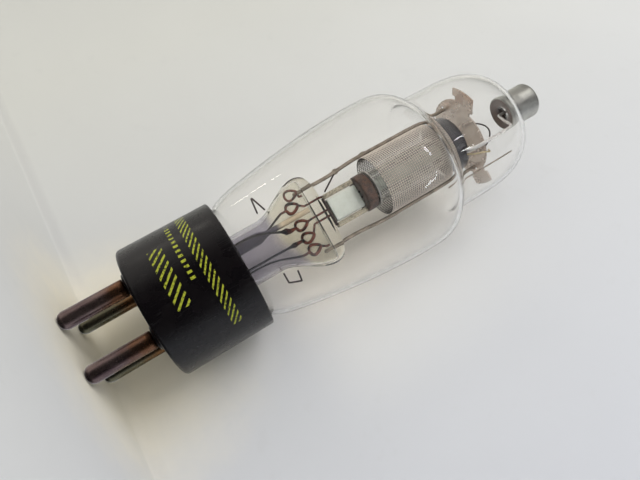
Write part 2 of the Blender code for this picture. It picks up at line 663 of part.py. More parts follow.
def build_rods():
    """The two rods that carry the anode: up through the press, a slight bend, then straight to the top."""
    bottom = PRESS_UNDERSIDE - ROD_TAIL
    for name, side in (("anode_rod_1", -1), ("anode_rod_2", 1)):
        foot = Vector((side * ROD_PRESS_X, 0.0, 0.0))
        head = on_circle(ROD_CIRCLE_RADIUS, rod_angle(side), 0.0)
        heights = [bottom, STEM_TOP, STEM_TOP + ROD_STRAIGHT_HEIGHT]
        points = [foot + Vector((0.0, 0.0, h)) for h in heights]
        weld = STEM_TOP + WELD_HEIGHT
        for lift in (-WELD_HALF_LENGTH, 0.0, WELD_HALF_LENGTH):
            share = smooth_step((weld + lift - heights[-1]) / (ANODE_BOTTOM - heights[-1]))
            points.append(foot.lerp(head, share) + Vector((0.0, 0.0, weld + lift)))
        points.append(head + Vector((0.0, 0.0, ANODE_BOTTOM)))
        points.append(head + Vector((0.0, 0.0, MICA_TOP + ROD_END_ABOVE_MICA)))
        swellings = {4: WELD_LUMP} if side < 0 else None
        wire(name, points, ROD_RADIUS, "dull_nickel", swellings)


def build_tie_wire():
    """The thin wire from the weld on the left rod down to the left rail."""
    weld = STEM_TOP + WELD_HEIGHT
    reach = ROD_RADIUS * WELD_LUMP + CLEARANCE + TIE_RADIUS
    start = Vector((-ROD_PRESS_X + reach, 0.0, weld - TIE_DROP))
    end_x = -BLOCK_WIDTH / 2 - RAIL_FLANGE - 2 * CLEARANCE - TIE_RADIUS
    end = Vector((end_x, 0.0, BLOCK_BOTTOM + TIE_END_HEIGHT))
    middle = start.lerp(end, 0.5) - Vector((TIE_SAG, 0.0, 0.0))
    wire("tie_wire", [start, middle, end], TIE_RADIUS, "dark_steel")


# Column between the press and the anode

def box(name, width, depth, bottom, top, finish):
    mesh = bpy.data.meshes.new(name)
    shape = bmesh.new()
    bmesh.ops.create_cube(shape, size=1.0)
    bmesh.ops.scale(shape, vec=(width, depth, top - bottom), verts=shape.verts)
    bmesh.ops.translate(shape, vec=(0.0, 0.0, (bottom + top) / 2), verts=shape.verts)
    shape.to_mesh(mesh)
    shape.free()
    return place(name, mesh, finish)


def build_column():
    """The white block between its rails, the dark band below it, and the brown bush above."""
    band = box("lower_band", BLOCK_WIDTH + 2 * BAND_OVERHANG, BLOCK_DEPTH, BAND_BOTTOM,
               BAND_BOTTOM + BAND_THICKNESS, "dark_steel")
    block = box("ceramic_block", BLOCK_WIDTH, BLOCK_DEPTH, BLOCK_BOTTOM, BLOCK_TOP, "white_ceramic")
    rounding = block.modifiers.new("Edges", "BEVEL")
    rounding.width = BLOCK_EDGE
    rounding.segments = 2
    rounding.limit_method = "ANGLE"
    for body in (band, block):
        drill(body, 0.0, 0.0, BLOCK_BORE_RADIUS - CLEARANCE, BAND_BOTTOM - CLEARANCE, BLOCK_TOP + CLEARANCE)
    drill(band, -rail_x(), 0.0, LEAD_RADIUS, BAND_BOTTOM - CLEARANCE, BLOCK_BOTTOM)
    for name, side in (("side_rail_1", -1), ("side_rail_2", 1)):
        channel(name, side)
    bore = CATHODE_RADIUS + CLEARANCE
    bush = ring("lower_bush", bore, LOWER_BUSH_RADIUS, LOWER_BUSH_BOTTOM, LOWER_BUSH_TOP, "brown_ceramic",
                BUSH_SEGMENTS)
    washer = ring("bush_washer", bore, LOWER_BUSH_RADIUS + WASHER_OVERHANG, WASHER_BOTTOM, WASHER_TOP,
                  "nickel", BUSH_SEGMENTS)
    for body in (bush, washer):
        for side in (-1, 1):
            drill(body, side * GRID_ROD_X, 0.0, GRID_ROD_RADIUS, LOWER_BUSH_BOTTOM - CLEARANCE,
                  WASHER_TOP + CLEARANCE)


def channel(name, side):
    """A folded strip of U section that stands along the block, its open side outward."""
    half = RAIL_DEPTH / 2
    web = BLOCK_WIDTH / 2 + CLEARANCE
    outline = [(web, -half), (web + RAIL_FLANGE, -half), (web + RAIL_FLANGE, -half + RAIL_THICKNESS),
               (web + RAIL_THICKNESS, -half + RAIL_THICKNESS), (web + RAIL_THICKNESS, half - RAIL_THICKNESS),
               (web + RAIL_FLANGE, half - RAIL_THICKNESS), (web + RAIL_FLANGE, half), (web, half)]
    plate(name, [[(side * x, y) for x, y in outline]], BLOCK_HEIGHT, BLOCK_BOTTOM, "nickel")


def plate(name, outlines, thickness, bottom, finish):
    """A flat sheet cut to closed outlines: the first is its edge, and the others are holes."""
    curve = bpy.data.curves.new(name, "CURVE")
    curve.dimensions = "2D"
    curve.fill_mode = "BOTH"
    curve.extrude = thickness / 2
    for outline in outlines:
        spline = curve.splines.new("POLY")
        spline.use_cyclic_u = True
        spline.points.add(len(outline) - 1)
        for point, (x, y) in zip(spline.points, outline):
            point.co = (x, y, 0.0, 1.0)
    sheet = place(name, curve, finish)
    sheet.location.z = bottom + thickness / 2
    return sheet


# Anode, grid and cathode

def build_anode():
    """The woven wire cylinder as an even lattice of bars."""
    rows = [(ANODE_RADIUS, ANODE_TOP - ANODE_BAR / 2 - (ANODE_LENGTH - ANODE_BAR) * i / ANODE_ROWS)
            for i in range(ANODE_ROWS + 1)]
    anode = turned("anode_mesh", rows, "gauze", ANODE_COLUMNS)
    lattice = anode.modifiers.new("Lattice", "WIREFRAME")
    lattice.thickness = ANODE_BAR
    lattice.use_even_offset = True
    lattice.use_boundary = True
    lattice.use_replace = True


def build_cathode_and_grid():
    """The cathode sleeve with its hairpin heater, and the wire grid wound round two rods."""
    sleeve_top = (UPPER_BUSH_BOTTOM + UPPER_BUSH_TOP) / 2
    ring("cathode_sleeve", CATHODE_RADIUS - CATHODE_WALL, CATHODE_RADIUS, BLOCK_TOP + 2 * CLEARANCE,
         sleeve_top, "white_ceramic")
    bend = sleeve_top - 3 * HEATER_HALF_WIDTH
    crown = [(HEATER_HALF_WIDTH * cos(radians(a)), bend + HEATER_HALF_WIDTH * sin(radians(a)))
             for a in (0, 45, 90, 135, 180)]
    heater = [(HEATER_HALF_WIDTH, heater_foot()), *crown, (-HEATER_HALF_WIDTH, heater_foot())]
    wire("heater_hairpin", [Vector((x, 0.0, z)) for x, z in heater], HEATER_RADIUS, "dark_steel")
    bottom = LOWER_BUSH_BOTTOM + 2 * CLEARANCE
    for name, side in (("grid_rod_1", -1), ("grid_rod_2", 1)):
        ends = [Vector((side * GRID_ROD_X, 0.0, z)) for z in (bottom, sleeve_top)]
        wire(name, ends, GRID_ROD_RADIUS, "nickel")
    radius = GRID_ROD_X + GRID_ROD_RADIUS + CLEARANCE + GRID_WIRE_RADIUS
    first = WASHER_TOP + CLEARANCE + GRID_WIRE_RADIUS
    rise = UPPER_BUSH_BOTTOM - CLEARANCE - GRID_WIRE_RADIUS - first
    count = GRID_TURNS * GRID_TURN_POINTS
    winding = [on_circle(radius, 2 * pi * i / GRID_TURN_POINTS, first + rise * i / count)
               for i in range(count + 1)]
    wire("grid_winding", winding, GRID_WIRE_RADIUS, "nickel")


# Top of the electrodes

def build_upper_bush():
    """The dark glazed bush between the anode and the spacer, bored for the cathode and the grid rods."""
    bore = CATHODE_RADIUS + CLEARANCE
    shoulder = arc((UPPER_BUSH_RADIUS - UPPER_BUSH_EDGE, UPPER_BUSH_TOP - UPPER_BUSH_EDGE),
                   UPPER_BUSH_EDGE, UPPER_BUSH_EDGE, 90, 0, 3)
    profile = [(bore, UPPER_BUSH_TOP), *shoulder, (UPPER_BUSH_RADIUS, UPPER_BUSH_BOTTOM),
               (bore, UPPER_BUSH_BOTTOM)]
    bush = turned("upper_bush", profile, "brown_ceramic", BUSH_SEGMENTS, closed=True)
    for side in (-1, 1):
        drill(bush, side * GRID_ROD_X, 0.0, GRID_ROD_RADIUS, UPPER_BUSH_BOTTOM - CLEARANCE,
              UPPER_BUSH_TOP + CLEARANCE)


def flat_arc(radius, start, end, steps, centre=(0.0, 0.0)):
    """Points (x, y) of an arc seen from above."""
    angles = [start + (end - start) * i / steps for i in range(steps + 1)]
    return [(centre[0] + radius * cos(a), centre[1] + radius * sin(a)) for a in angles]


def rim_span(index):
    """Angles at which the rim leaves the neck of one tab and reaches the neck of the next."""
    tabs = MICA_TAB_ANGLES + (MICA_TAB_ANGLES[0] + 2 * pi,)
    first, last = MICA_RIM_RADII[index]
    return (tabs[index] + asin(MICA_NECK_HALF_WIDTH / first),
            tabs[index + 1] - asin(MICA_NECK_HALF_WIDTH / last))


def rim_radius_at(index, angle):
    """Radius of the rim after a tab, which changes evenly with the angle."""
    start, end = rim_span(index)
    first, last = MICA_RIM_RADII[index]
    return first + (last - first) * (angle - start) / (end - start)


def tab_side(index, side, rim_radius):
    """One side of a tab from the rim outward: the root, the notch and the full width."""
    tab = MICA_TAB_ANGLES[index]
    root = (rim_radius ** 2 - MICA_NECK_HALF_WIDTH ** 2) ** 0.5
    corners = [(root, MICA_NECK_HALF_WIDTH), (root + MICA_NOTCH, MICA_NECK_HALF_WIDTH),
               (root + MICA_NOTCH, MICA_TAB_HALF_WIDTH)]
    return [(along * cos(tab) - side * across * sin(tab), along * sin(tab) + side * across * cos(tab))
            for along, across in corners]


def build_mica():
    """The mica spacer with its three notched tabs and a hole for each rod."""
    edge = []
    half = asin(MICA_TAB_HALF_WIDTH / MICA_TAB_RADIUS)
    for index, tab in enumerate(MICA_TAB_ANGLES):
        edge += tab_side(index, -1, MICA_RIM_RADII[index - 1][1])
        edge += flat_arc(MICA_TAB_RADIUS, tab - half, tab + half, 4)
        edge += reversed(tab_side(index, 1, MICA_RIM_RADII[index][0]))
        start, end = rim_span(index)
        for step in range(1, 8):
            angle = start + (end - start) * step / 8
            radius = rim_radius_at(index, angle)
            edge.append((radius * cos(angle), radius * sin(angle)))
    holes = []
    for side in (-1, 1):
        x, y, _ = on_circle(ROD_CIRCLE_RADIUS, rod_angle(side), 0.0)
        holes.append(flat_arc(ROD_RADIUS + CLEARANCE, 0.0, 1.8 * pi, 9, (x, y)))
    plate("mica_spacer", [edge] + holes, MICA_THICKNESS, MICA_BOTTOM, "mica")


def stay_wire_place():
    """Distance from the axis and angle of the stay wire, which stands at the rim beside the first tab."""
    radius = MICA_RIM_RADII[-1][1] + CLEARANCE + THIN_WIRE_RADIUS
    across = MICA_TAB_HALF_WIDTH + CLEARANCE + THIN_WIRE_RADIUS
    return radius, MICA_TAB_ANGLES[0] - asin(across / radius)


def outside_rim(wire_radius, angle):
    """Distance from the axis of a wire just outside the rim between the last tab and the first."""
    return rim_radius_at(2, angle) + CLEARANCE + 1.2 * wire_radius


def build_top_wires():
    """The getter loop on the spacer, the stay wire, the short strap and the lead to the top cap."""
    foot = MICA_TOP + CLEARANCE
    left, right = Vector((*GETTER_LEFT, foot)), Vector((*GETTER_RIGHT, foot))
    arch = [left]
    for i in range(1, 8):
        share = i / 8
        rise = GETTER_ARCH_HEIGHT * sin(pi * share) ** GETTER_SQUARENESS
        arch.append(left.lerp(right, share) + Vector((0.0, 0.0, rise)))
    arch.append(right)
    wire("getter_loop", arch, THIN_WIRE_RADIUS, "dark_steel")

    circle, angle = stay_wire_place()
    top = BULB_TOP - STAY_WIRE_DROP
    wire("stay_wire", [on_circle(circle, angle, top - STAY_WIRE_LENGTH), on_circle(circle, angle, top)],
         THIN_WIRE_RADIUS, "dull_nickel")

    low, high = radians(308), radians(312)
    beside_bush = UPPER_BUSH_RADIUS + CLEARANCE + THIN_WIRE_RADIUS
    beside_rim = outside_rim(THIN_WIRE_RADIUS, low)
    wire("bush_strap", smooth_route([
        on_circle(beside_bush, radians(305), UPPER_BUSH_BOTTOM + 0.0023),
        on_circle((beside_bush + 2 * beside_rim) / 3, radians(306), UPPER_BUSH_TOP + 0.0001),
        on_circle(beside_rim, low, MICA_BOTTOM - 0.0006),
        on_circle(outside_rim(THIN_WIRE_RADIUS, high), high, MICA_TOP + 0.0004),
        on_circle(rim_radius_at(2, high) - STRAP_LAP, radians(315), MICA_TOP + 0.0011),
    ], 2), THIN_WIRE_RADIUS, "nickel")

    seal = BULB_TOP - BULB_WALL
    low, high = radians(293), radians(293.5)
    beside_bush = UPPER_BUSH_RADIUS + CLEARANCE + GRID_LEAD_RADIUS
    beside_rim = outside_rim(GRID_LEAD_RADIUS, low)
    route = smooth_route([
        on_circle(beside_bush, radians(294), UPPER_BUSH_BOTTOM + 0.0022),
        on_circle((beside_bush + beside_rim) / 2, radians(295), UPPER_BUSH_TOP + 0.0003),
        on_circle(beside_rim, low, MICA_BOTTOM - 0.0007),
        on_circle(outside_rim(GRID_LEAD_RADIUS, high), high, MICA_TOP + 0.0007),
        on_circle(0.0062, radians(303), seal - 0.0059),
        on_circle(0.0030, radians(318), seal - 0.0028),
        on_circle(0.0010, radians(320), seal - 0.0012),
        Vector((0.0, 0.0, seal - 0.0003)),
    ], 3)
    route.append(Vector((0.0, 0.0, cap_top() - CAP_WALL - CLEARANCE)))
    wire("grid_lead", route, GRID_LEAD_RADIUS, "nickel")


# Top cap

def cap_bottom():
    """The cap's skirt stands just clear of the dome."""
    return BASE_RIM + dome_height_at(CAP_RADIUS - CAP_WALL) + CLEARANCE


def cap_top():
    return cap_bottom() + CAP_HEIGHT


def build_top_cap():
    """Drawn metal cap with a rounded edge, and the cement that holds it on the nipple."""
    edge_centre = (CAP_RADIUS - CAP_EDGE_ROUND, cap_top() - CAP_EDGE_ROUND)
    edge = arc(edge_centre, CAP_EDGE_ROUND, CAP_EDGE_ROUND, 90, 0, 4)
    cap = turned("top_cap", [(0.0, cap_top()), *edge, (CAP_RADIUS, cap_bottom())], "cap_metal", BUSH_SEGMENTS)
    wall = cap.modifiers.new("Wall", "SOLIDIFY")
    wall.thickness = CAP_WALL
    wall.offset = -1.0
    cement_bottom = BULB_TOP + 2 * CLEARANCE
    ring("cap_cement", NIPPLE_RADIUS + CLEARANCE, CAP_RADIUS - CAP_WALL - CLEARANCE, cement_bottom,
         cement_bottom + CAP_CEMENT_HEIGHT, "cement")


def build():
    build_pins()
    build_base_shell()
    build_base_cement()
    build_bulb()
    build_stem()
    build_exhaust_tube()
    build_leads()
    build_rod_tail()
    build_stem_hooks()
    build_rods()
    build_tie_wire()
    build_column()
    build_anode()
    build_cathode_and_grid()
    build_upper_bush()
    build_mica()
    build_top_wires()
    build_top_cap()


build()
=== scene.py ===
"""A glass vacuum tube with a black pin base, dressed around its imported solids.

The file is laid out as an add-on with a panel of sizes and colours, and is run as a script. Each
operator makes one group of pieces from formulas worked out as whole arrays, in metres, with the
tube's axis along Z and the pin tips at the origin's level.
"""

import bpy
import numpy as np
from bpy.props import FloatProperty, FloatVectorProperty, IntProperty, PointerProperty
from bpy.types import Operator, Panel, PropertyGroup
from mathutils import Matrix, Vector


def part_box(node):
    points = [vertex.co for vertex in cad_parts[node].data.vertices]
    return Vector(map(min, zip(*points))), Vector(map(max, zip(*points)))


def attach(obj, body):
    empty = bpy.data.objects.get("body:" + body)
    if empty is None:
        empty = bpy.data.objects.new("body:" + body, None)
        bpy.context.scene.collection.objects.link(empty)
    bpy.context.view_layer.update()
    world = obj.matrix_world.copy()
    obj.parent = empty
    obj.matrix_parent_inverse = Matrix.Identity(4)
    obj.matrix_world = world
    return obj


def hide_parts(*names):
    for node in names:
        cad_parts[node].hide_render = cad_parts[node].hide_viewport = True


bl_info = {
    "name": "Vacuum Tube",
    "version": (1, 0, 0),
    "blender": (4, 5, 0),
    "location": "3D View > Sidebar > Vacuum Tube",
    "description": "Builds the glass, metal and moulded pieces of a vacuum tube around its solids",
    "category": "Add Mesh",
}

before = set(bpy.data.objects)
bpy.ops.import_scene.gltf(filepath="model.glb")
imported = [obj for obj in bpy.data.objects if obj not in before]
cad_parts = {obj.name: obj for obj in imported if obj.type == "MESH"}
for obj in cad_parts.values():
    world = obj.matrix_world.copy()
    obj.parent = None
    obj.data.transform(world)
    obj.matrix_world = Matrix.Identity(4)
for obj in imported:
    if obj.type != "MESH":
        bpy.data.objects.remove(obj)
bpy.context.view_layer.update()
TURN = 2 * np.pi
TINY = 1e-9


# Sizes that the solids were made with, in metres

GAP = 0.0003
PIN_LENGTH = 0.0156
PIN_CIRCLE = 0.0086
SMALL_PIN_RADIUS = 0.00159
LARGE_PIN_RADIUS = 0.00198
BASE_WALL = 0.0018
STEM_WALL = 0.0010
PRESS_BAR_HEIGHT = 0.0030
LEAD_RADIUS = 0.00022
ROD_RADIUS = 0.00045
ROD_FOOT = 0.0074
BLOCK_HALF_WIDTH = 0.0028
BLOCK_HALF_DEPTH = 0.0017
RAIL_WIDTH = 0.0011
BORE_RADIUS = 0.0019
UPPER_BUSH_RADIUS = 0.0069

# Heights above the rim of the base: the bulb's widest level, and the dome's foot and rise

WIDEST_HEIGHT = 0.0400
DOME_FOOT = 0.0570
DOME_RISE = 0.0190


# Sizes read from the solids

def top_of(node):
    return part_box(node)[1].z


def bottom_of(node):
    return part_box(node)[0].z


def reach_of(node):
    """Largest distance of the node from the tube's axis along X."""
    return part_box(node)[1].x


BASE_BOTTOM = bottom_of("large_pin_1") + PIN_LENGTH
BASE_RIM = top_of("base_shell")
BASE_RADIUS = reach_of("base_shell")
NECK_BOTTOM = bottom_of("glass_bulb")
BULB_TOP = BASE_RIM + DOME_FOOT + DOME_RISE
STEM_TOP = top_of("glass_stem")
PRESS_UNDERSIDE = STEM_TOP - PRESS_BAR_HEIGHT
ANODE_BOTTOM = bottom_of("anode_mesh")
ANODE_TOP = top_of("anode_mesh")
BLOCK_BOTTOM = bottom_of("ceramic_block")
BLOCK_TOP = top_of("ceramic_block")
MICA_TOP = top_of("mica_spacer")
MICA_BOTTOM = bottom_of("mica_spacer")
CAP_TOP = top_of("top_cap")
CAP_BOTTOM = bottom_of("top_cap")


# Properties

def length(name, default, description):
    return FloatProperty(name=name, description=description, default=default, min=0.0, unit="LENGTH",
                         precision=5)


def colour(name, default, description):
    return FloatVectorProperty(name=name, description=description, default=default, subtype="COLOR",
                               size=3, min=0.0, max=1.0)


def share(name, default, description):
    return FloatProperty(name=name, description=description, default=default, min=0.0, max=1.0,
                         subtype="FACTOR")


class GlassSettings(PropertyGroup):
    bulb_radius: length("Bulb radius", reach_of("glass_bulb"), "Outer radius at the widest level")
    dome_radius: length("Dome radius", 0.0149, "Outer radius of the straight part under the dome")
    wall: length("Wall", 0.0008, "Thickness of the blown glass")
    stem_radius: length("Stem radius", 0.0063, "Outer radius of the round part of the stem")
    press_half_width: length("Press half width", 0.0110, "Half width of the flat press")
    press_half_depth: length("Press half depth", 0.0027, "Half thickness of the flat press")
    bulb_tint: colour("Bulb tint", (1.0, 0.996, 0.985), "Colour that one pass through the bulb takes")
    press_tint: colour("Press tint", (0.93, 0.91, 0.84), "Colour that one pass through the press takes")
    stem_tint: colour("Stem tint", (0.64, 0.62, 0.68), "Colour that one pass through the tube takes")
    facets: IntProperty(name="Facets", description="Facets round the bulb", default=144, min=24)


class BaseSettings(PropertyGroup):
    edge_round: length("Edge rounding", 0.0009, "Rounding of the foot of the base")
    moulding: colour("Moulding", (0.0030, 0.0021, 0.0029), "Colour of the moulded base")
    print_ink: colour("Print", (0.37, 0.40, 0.03), "Colour of the printed bars")
    pin_metal: colour("Pin metal", (0.24, 0.175, 0.165), "Colour of the tarnished pins")
    pin_stain: colour("Pin stain", (0.20, 0.080, 0.022), "Colour of the brown stain near the roots")


class ElectrodeSettings(PropertyGroup):
    gauze_radius: length("Gauze radius", 0.0074, "Radius of the woven cylinder")
    gauze_pitch: length("Gauze pitch", 0.00055, "Distance from one wire of the weave to the next")
    gauze_wire: length("Gauze wire", 0.000105, "Radius of a wire of the weave")
    winding_pitch: length("Winding pitch", 0.00055, "Rise of the grid winding in one turn")
    gauze_metal: colour("Gauze", (1.0, 0.90, 0.80), "Colour of the woven wire")
    ceramic: colour("White ceramic", (0.70, 0.735, 0.67), "Colour of the white block")
    bush: colour("Brown bush", (0.060, 0.037, 0.028), "Colour of the brown bush")
    glaze: colour("Dark bush", (0.0075, 0.0060, 0.0105), "Colour of the glazed bush")
    mica: colour("Mica", (1.0, 0.88, 0.77), "Colour of the mica spacer")
    copper: colour("Lead wire", (0.26, 0.075, 0.052), "Colour of the leads in the stem")


class CapSettings(PropertyGroup):
    radius: length("Radius", reach_of("top_cap"), "Outer radius of the top cap")
    edge_round: length("Edge rounding", 0.0007, "Rounding of the cap's edge")
    metal: colour("Metal", (0.54, 0.535, 0.50), "Colour of the cap")
    cement: colour("Cement", (0.11, 0.080, 0.070), "Colour of the cement under the cap")


class StageSettings(PropertyGroup):
    table: colour("Table", (0.62, 0.62, 0.61), "Colour of the floor and backdrop")
    key: FloatProperty(name="Key light", description="Power of the large soft lamp in watts",
                       default=2.5, min=0.0)
    fill: share("Fill", 0.68, "Brightness of the surroundings")
    dark: share("Dark side", 0.04, "Share of it that mirrors find in front, above and below")
    glow: FloatProperty(name="Glow", description="Brightness towards the key, as mirrored",
                        default=1.3, min=0.0)
    beyond: share("Beyond", 0.64, "Brightness behind the glass where no backdrop stands")


# Shapes worked out as arrays

def smooth_step(t):
    """From 0 to 1 with level ends: t t (3 - 2 t), with t held between 0 and 1."""
    t = np.clip(t, 0.0, 1.0)
    return t * t * (3 - 2 * t)


def stacked(x, y, z):
    """Points from arrays of their x, y and z, each repeated where it is shorter."""
    return np.stack(np.broadcast_arrays(x, y, z), -1)


def grid_faces(rows, columns, close_rows=False, close_columns=True):
    """Corner numbers of the quads between neighbouring points of a rows x columns grid."""
    i = np.arange(rows if close_rows else rows - 1)[:, None]
    j = np.arange(columns if close_columns else columns - 1)[None, :]
    below = (i + 1) % rows
    beside = (j + 1) % columns
    corners = [i * columns + j, below * columns + j, below * columns + beside, i * columns + beside]
    return np.stack(np.broadcast_arrays(*corners), -1).reshape(-1, 4)


def piece(name, points, polygons, finish, replaced, smooth=True):
    """Put points and arrays of polygons into one mesh with its finish, and hide the solids that it replaces.
    """
    mesh = bpy.data.meshes.new(name)
    points = np.ascontiguousarray(points, dtype=np.float64).reshape(-1, 3)
    corners = np.concatenate([p.ravel() for p in polygons]).astype(np.int32)
    totals = np.concatenate([np.full(len(p), p.shape[1]) for p in polygons])
    starts = np.concatenate([[0], np.cumsum(totals)[:-1]]).astype(np.int32)
    mesh.vertices.add(len(points))
    mesh.vertices.foreach_set("co", points.ravel())
    mesh.loops.add(len(corners))
    mesh.loops.foreach_set("vertex_index", corners)
    mesh.polygons.add(len(totals))
    mesh.polygons.foreach_set("loop_start", starts)
    mesh.update(calc_edges=True)
    mesh.validate()
    mesh.polygons.foreach_set("use_smooth", np.full(len(mesh.polygons), smooth))
    made = bpy.data.objects.new(name, mesh)
    bpy.context.scene.collection.objects.link(made)
    material, slot = FINISHES[finish]
    mesh.materials.append(material())
    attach(made, "root")
    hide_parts(*replaced)
    return made


def lathe(profile, facets, closed=False):
    """Each (radius, height) of the profile goes round the axis: x = r cos a, y = r sin a.

    The profile runs down the outer side. Where an end lies on the axis, its ring is one point.
    """
    profile = np.asarray(profile)
    poles = [profile[0, 0] < TINY, profile[-1, 0] < TINY]
    rings = profile[1 if poles[0] else 0:len(profile) - (1 if poles[1] else 0)]
    angle = TURN * np.arange(facets) / facets
    r, z = rings[:, :1], rings[:, 1:]
    points = stacked(r * np.cos(angle), r * np.sin(angle), z).reshape(-1, 3)
    polygons = [grid_faces(len(rings), facets, close_rows=closed)]
    around = np.arange(facets)
    beside = (around + 1) % facets
    if poles[0]:
        points = np.vstack([points, [0.0, 0.0, profile[0, 1]]])
        polygons.append(np.stack([np.full(facets, len(points) - 1), around, beside], -1))
    if poles[1]:
        last = (len(rings) - 1) * facets
        points = np.vstack([points, [0.0, 0.0, profile[-1, 1]]])
        polygons.append(np.stack([np.full(facets, len(points) - 1), last + beside, last + around], -1))
    return points, polygons


def join(parts):
    """Several (points, polygons) shapes as one."""
    points, polygons, offset = [], [], 0
    for some_points, some_polygons in parts:
        points.append(np.asarray(some_points).reshape(-1, 3))
        polygons += [p + offset for p in some_polygons]
        offset += len(points[-1])
    return np.vstack(points), polygons


def moved(shape, x, y=0.0):
    """The shape, moved off the tube's axis."""
    return shape[0] + (x, y, 0.0), shape[1]


def loft(sections):
    """Skin through sections (level, around, xyz), closed by a flat face at each end.

    They are given from the top down, and each runs anticlockwise as seen from above.
    """
    levels, around = sections.shape[:2]
    ring = np.arange(around)
    ends = [ring[None, :], ((levels - 1) * around + ring[::-1])[None, :]]
    return sections.reshape(-1, 3), [grid_faces(levels, around), *ends]


def smooth_line(knots, steps):
    """A line through the knots: between two, a cubic whose slopes come from the knots on either side."""
    knots = np.asarray(knots, dtype=float)
    padded = np.vstack([2 * knots[0] - knots[1], knots, 2 * knots[-1] - knots[-2]])
    a, b, c, d = (k[:, None, :] for k in (padded[:-3], padded[1:-2], padded[2:-1], padded[3:]))
    t = (np.arange(steps) / steps)[None, :, None]
    line = b + 0.5 * ((c - a) * t + (2 * a - 5 * b + 4 * c - d) * t ** 2
                      + (3 * b - a - 3 * c + d) * t ** 3)
    return np.vstack([line.reshape(-1, 3), knots[-1]])


def tube(line, radius, sides, across=(0.0, 1.0, 0.0)):
    """A circle of the given radius, one value or one for each point, carried square to the line.

    Its axes are the cross product of the line's direction with the across vector, and the cross
    product of that with the direction. Two smaller rings round off each end.
    """
    line = np.asarray(line, dtype=float)
    radius = np.broadcast_to(np.asarray(radius, dtype=float), len(line))
    first = (line[0] - line[1]) / np.linalg.norm(line[0] - line[1])
    last = (line[-1] - line[-2]) / np.linalg.norm(line[-1] - line[-2])
    reach = np.array([[0.90], [0.55]])
    width = np.array([0.42, 0.84])
    line = np.vstack([line[0] + first * radius[0] * reach, line, line[-1] + last * radius[-1] * reach[::-1]])
    radius = np.concatenate([radius[0] * width, radius, radius[-1] * width[::-1]])
    along = np.gradient(line, axis=0)
    along /= np.linalg.norm(along, axis=1, keepdims=True)
    side = np.cross(along, across)
    side /= np.linalg.norm(side, axis=1, keepdims=True)
    up = np.cross(side, along)
    angle = (TURN * np.arange(sides) / sides)[None, :, None]
    ring = np.cos(angle) * side[:, None, :] + np.sin(angle) * up[:, None, :]
    return loft(line[:, None, :] + radius[:, None, None] * ring)


def arc(centre_r, centre_z, radius, start, end, steps):
    """Points (radius, height) of a circle's arc, from start to end in degrees."""
    a = np.radians(np.linspace(start, end, steps + 1))
    return np.stack([centre_r + radius * np.cos(a), centre_z + radius * np.sin(a)], -1)


def straight(radius, start, end, steps):
    """Points (radius, height) of a straight side between two heights."""
    return np.stack([np.full(steps, radius), np.linspace(start, end, steps)], -1)


def smooth_step_line(start, end, steps):
    """Points (radius, height) from start to end, whose radius follows a smooth step of the height."""
    t = np.linspace(0.0, 1.0, steps)
    radius = start[0] + (end[0] - start[0]) * smooth_step(t)
    return np.stack([radius, start[1] + (end[1] - start[1]) * t], -1)


def bored_ring(name, outer, upper_edge, lower_edge, facets):
    """A ring round the column's bore at the node's level, with edges given as (rounding, steps)."""
    low, high = bottom_of(name), top_of(name)
    (above, above_steps), (below, below_steps) = upper_edge, lower_edge
    profile = np.vstack([
        [(BORE_RADIUS, high)],
        arc(outer - above, high - above, above, 90, 0, above_steps),
        arc(outer - below, low + below, below, 0, -90, below_steps),
        [(BORE_RADIUS, low)]])
    return lathe(profile, facets, closed=True)


def rounded_bar(half_x, half_y, bottom, top, corner, edge):
    """A block with rounded corners and edges: a rounded rectangle that draws in at both ends.

    Round the edge, the outline shrinks by edge (1 - cos a) while the height moves by edge sin a.
    """
    quarter = np.linspace(0.0, np.pi / 2, 5)
    drawn_in = edge * (1 - np.cos(quarter))
    moved_on = edge * np.sin(quarter)
    inset = np.concatenate([drawn_in[::-1], drawn_in])[:, None]
    height = np.concatenate([top - edge + moved_on[::-1], bottom + edge - moved_on])[:, None]
    angle = np.concatenate([quarter + k * np.pi / 2 for k in range(4)])
    x = np.repeat([1, -1, -1, 1], len(quarter)) * (half_x - corner) + corner * np.cos(angle)
    y = np.repeat([1, 1, -1, -1], len(quarter)) * (half_y - corner) + corner * np.sin(angle)
    shrink = 1 - inset / np.hypot(x, y)
    return loft(stacked(x * shrink, y * shrink, height))


def on_circle(radius, degrees, height):
    """A point round the tube's axis, with its angle in degrees from +X."""
    a = np.radians(degrees)
    return np.array([radius * np.cos(a), radius * np.sin(a), height])


# Node helpers

def feed(tree, made, inputs):
    """Set or link inputs of a node by name or place. A plain colour has three parts."""
    for key, value in inputs.items():
        socket = made.inputs[key]
        if isinstance(value, bpy.types.NodeSocket):
            tree.links.new(value, socket)
        elif socket.type == "RGBA":
            socket.default_value = (*value, 1.0)
        else:
            socket.default_value = value
    return made


def node(tree, kind, inputs=None, **options):
    """Add a node, set its options, and set or link its inputs."""
    made = tree.nodes.new(kind)
    for key, value in options.items():
        setattr(made, key, value)
    return feed(tree, made, inputs or {})


def maths(tree, operation, a, b=0.0, c=0.0):
    return node(tree, "ShaderNodeMath", {0: a, 1: b, 2: c}, operation=operation).outputs[0]


def between(tree, value, low, high, out_low=0.0, out_high=1.0, smooth=False):
    """Map a value from low..high to out_low..out_high, clamped."""
    made = node(tree, "ShaderNodeMapRange",
                {"Value": value, "From Min": low, "From Max": high, "To Min": out_low, "To Max": out_high},
                interpolation_type="SMOOTHSTEP" if smooth else "LINEAR")
    return made.outputs["Result"]


def blend(tree, factor, a, b):
    """Mix two colours or colour sockets."""
    return node(tree, "ShaderNodeMix", {"Factor": factor, 6: a, 7: b}, data_type="RGBA").outputs[2]


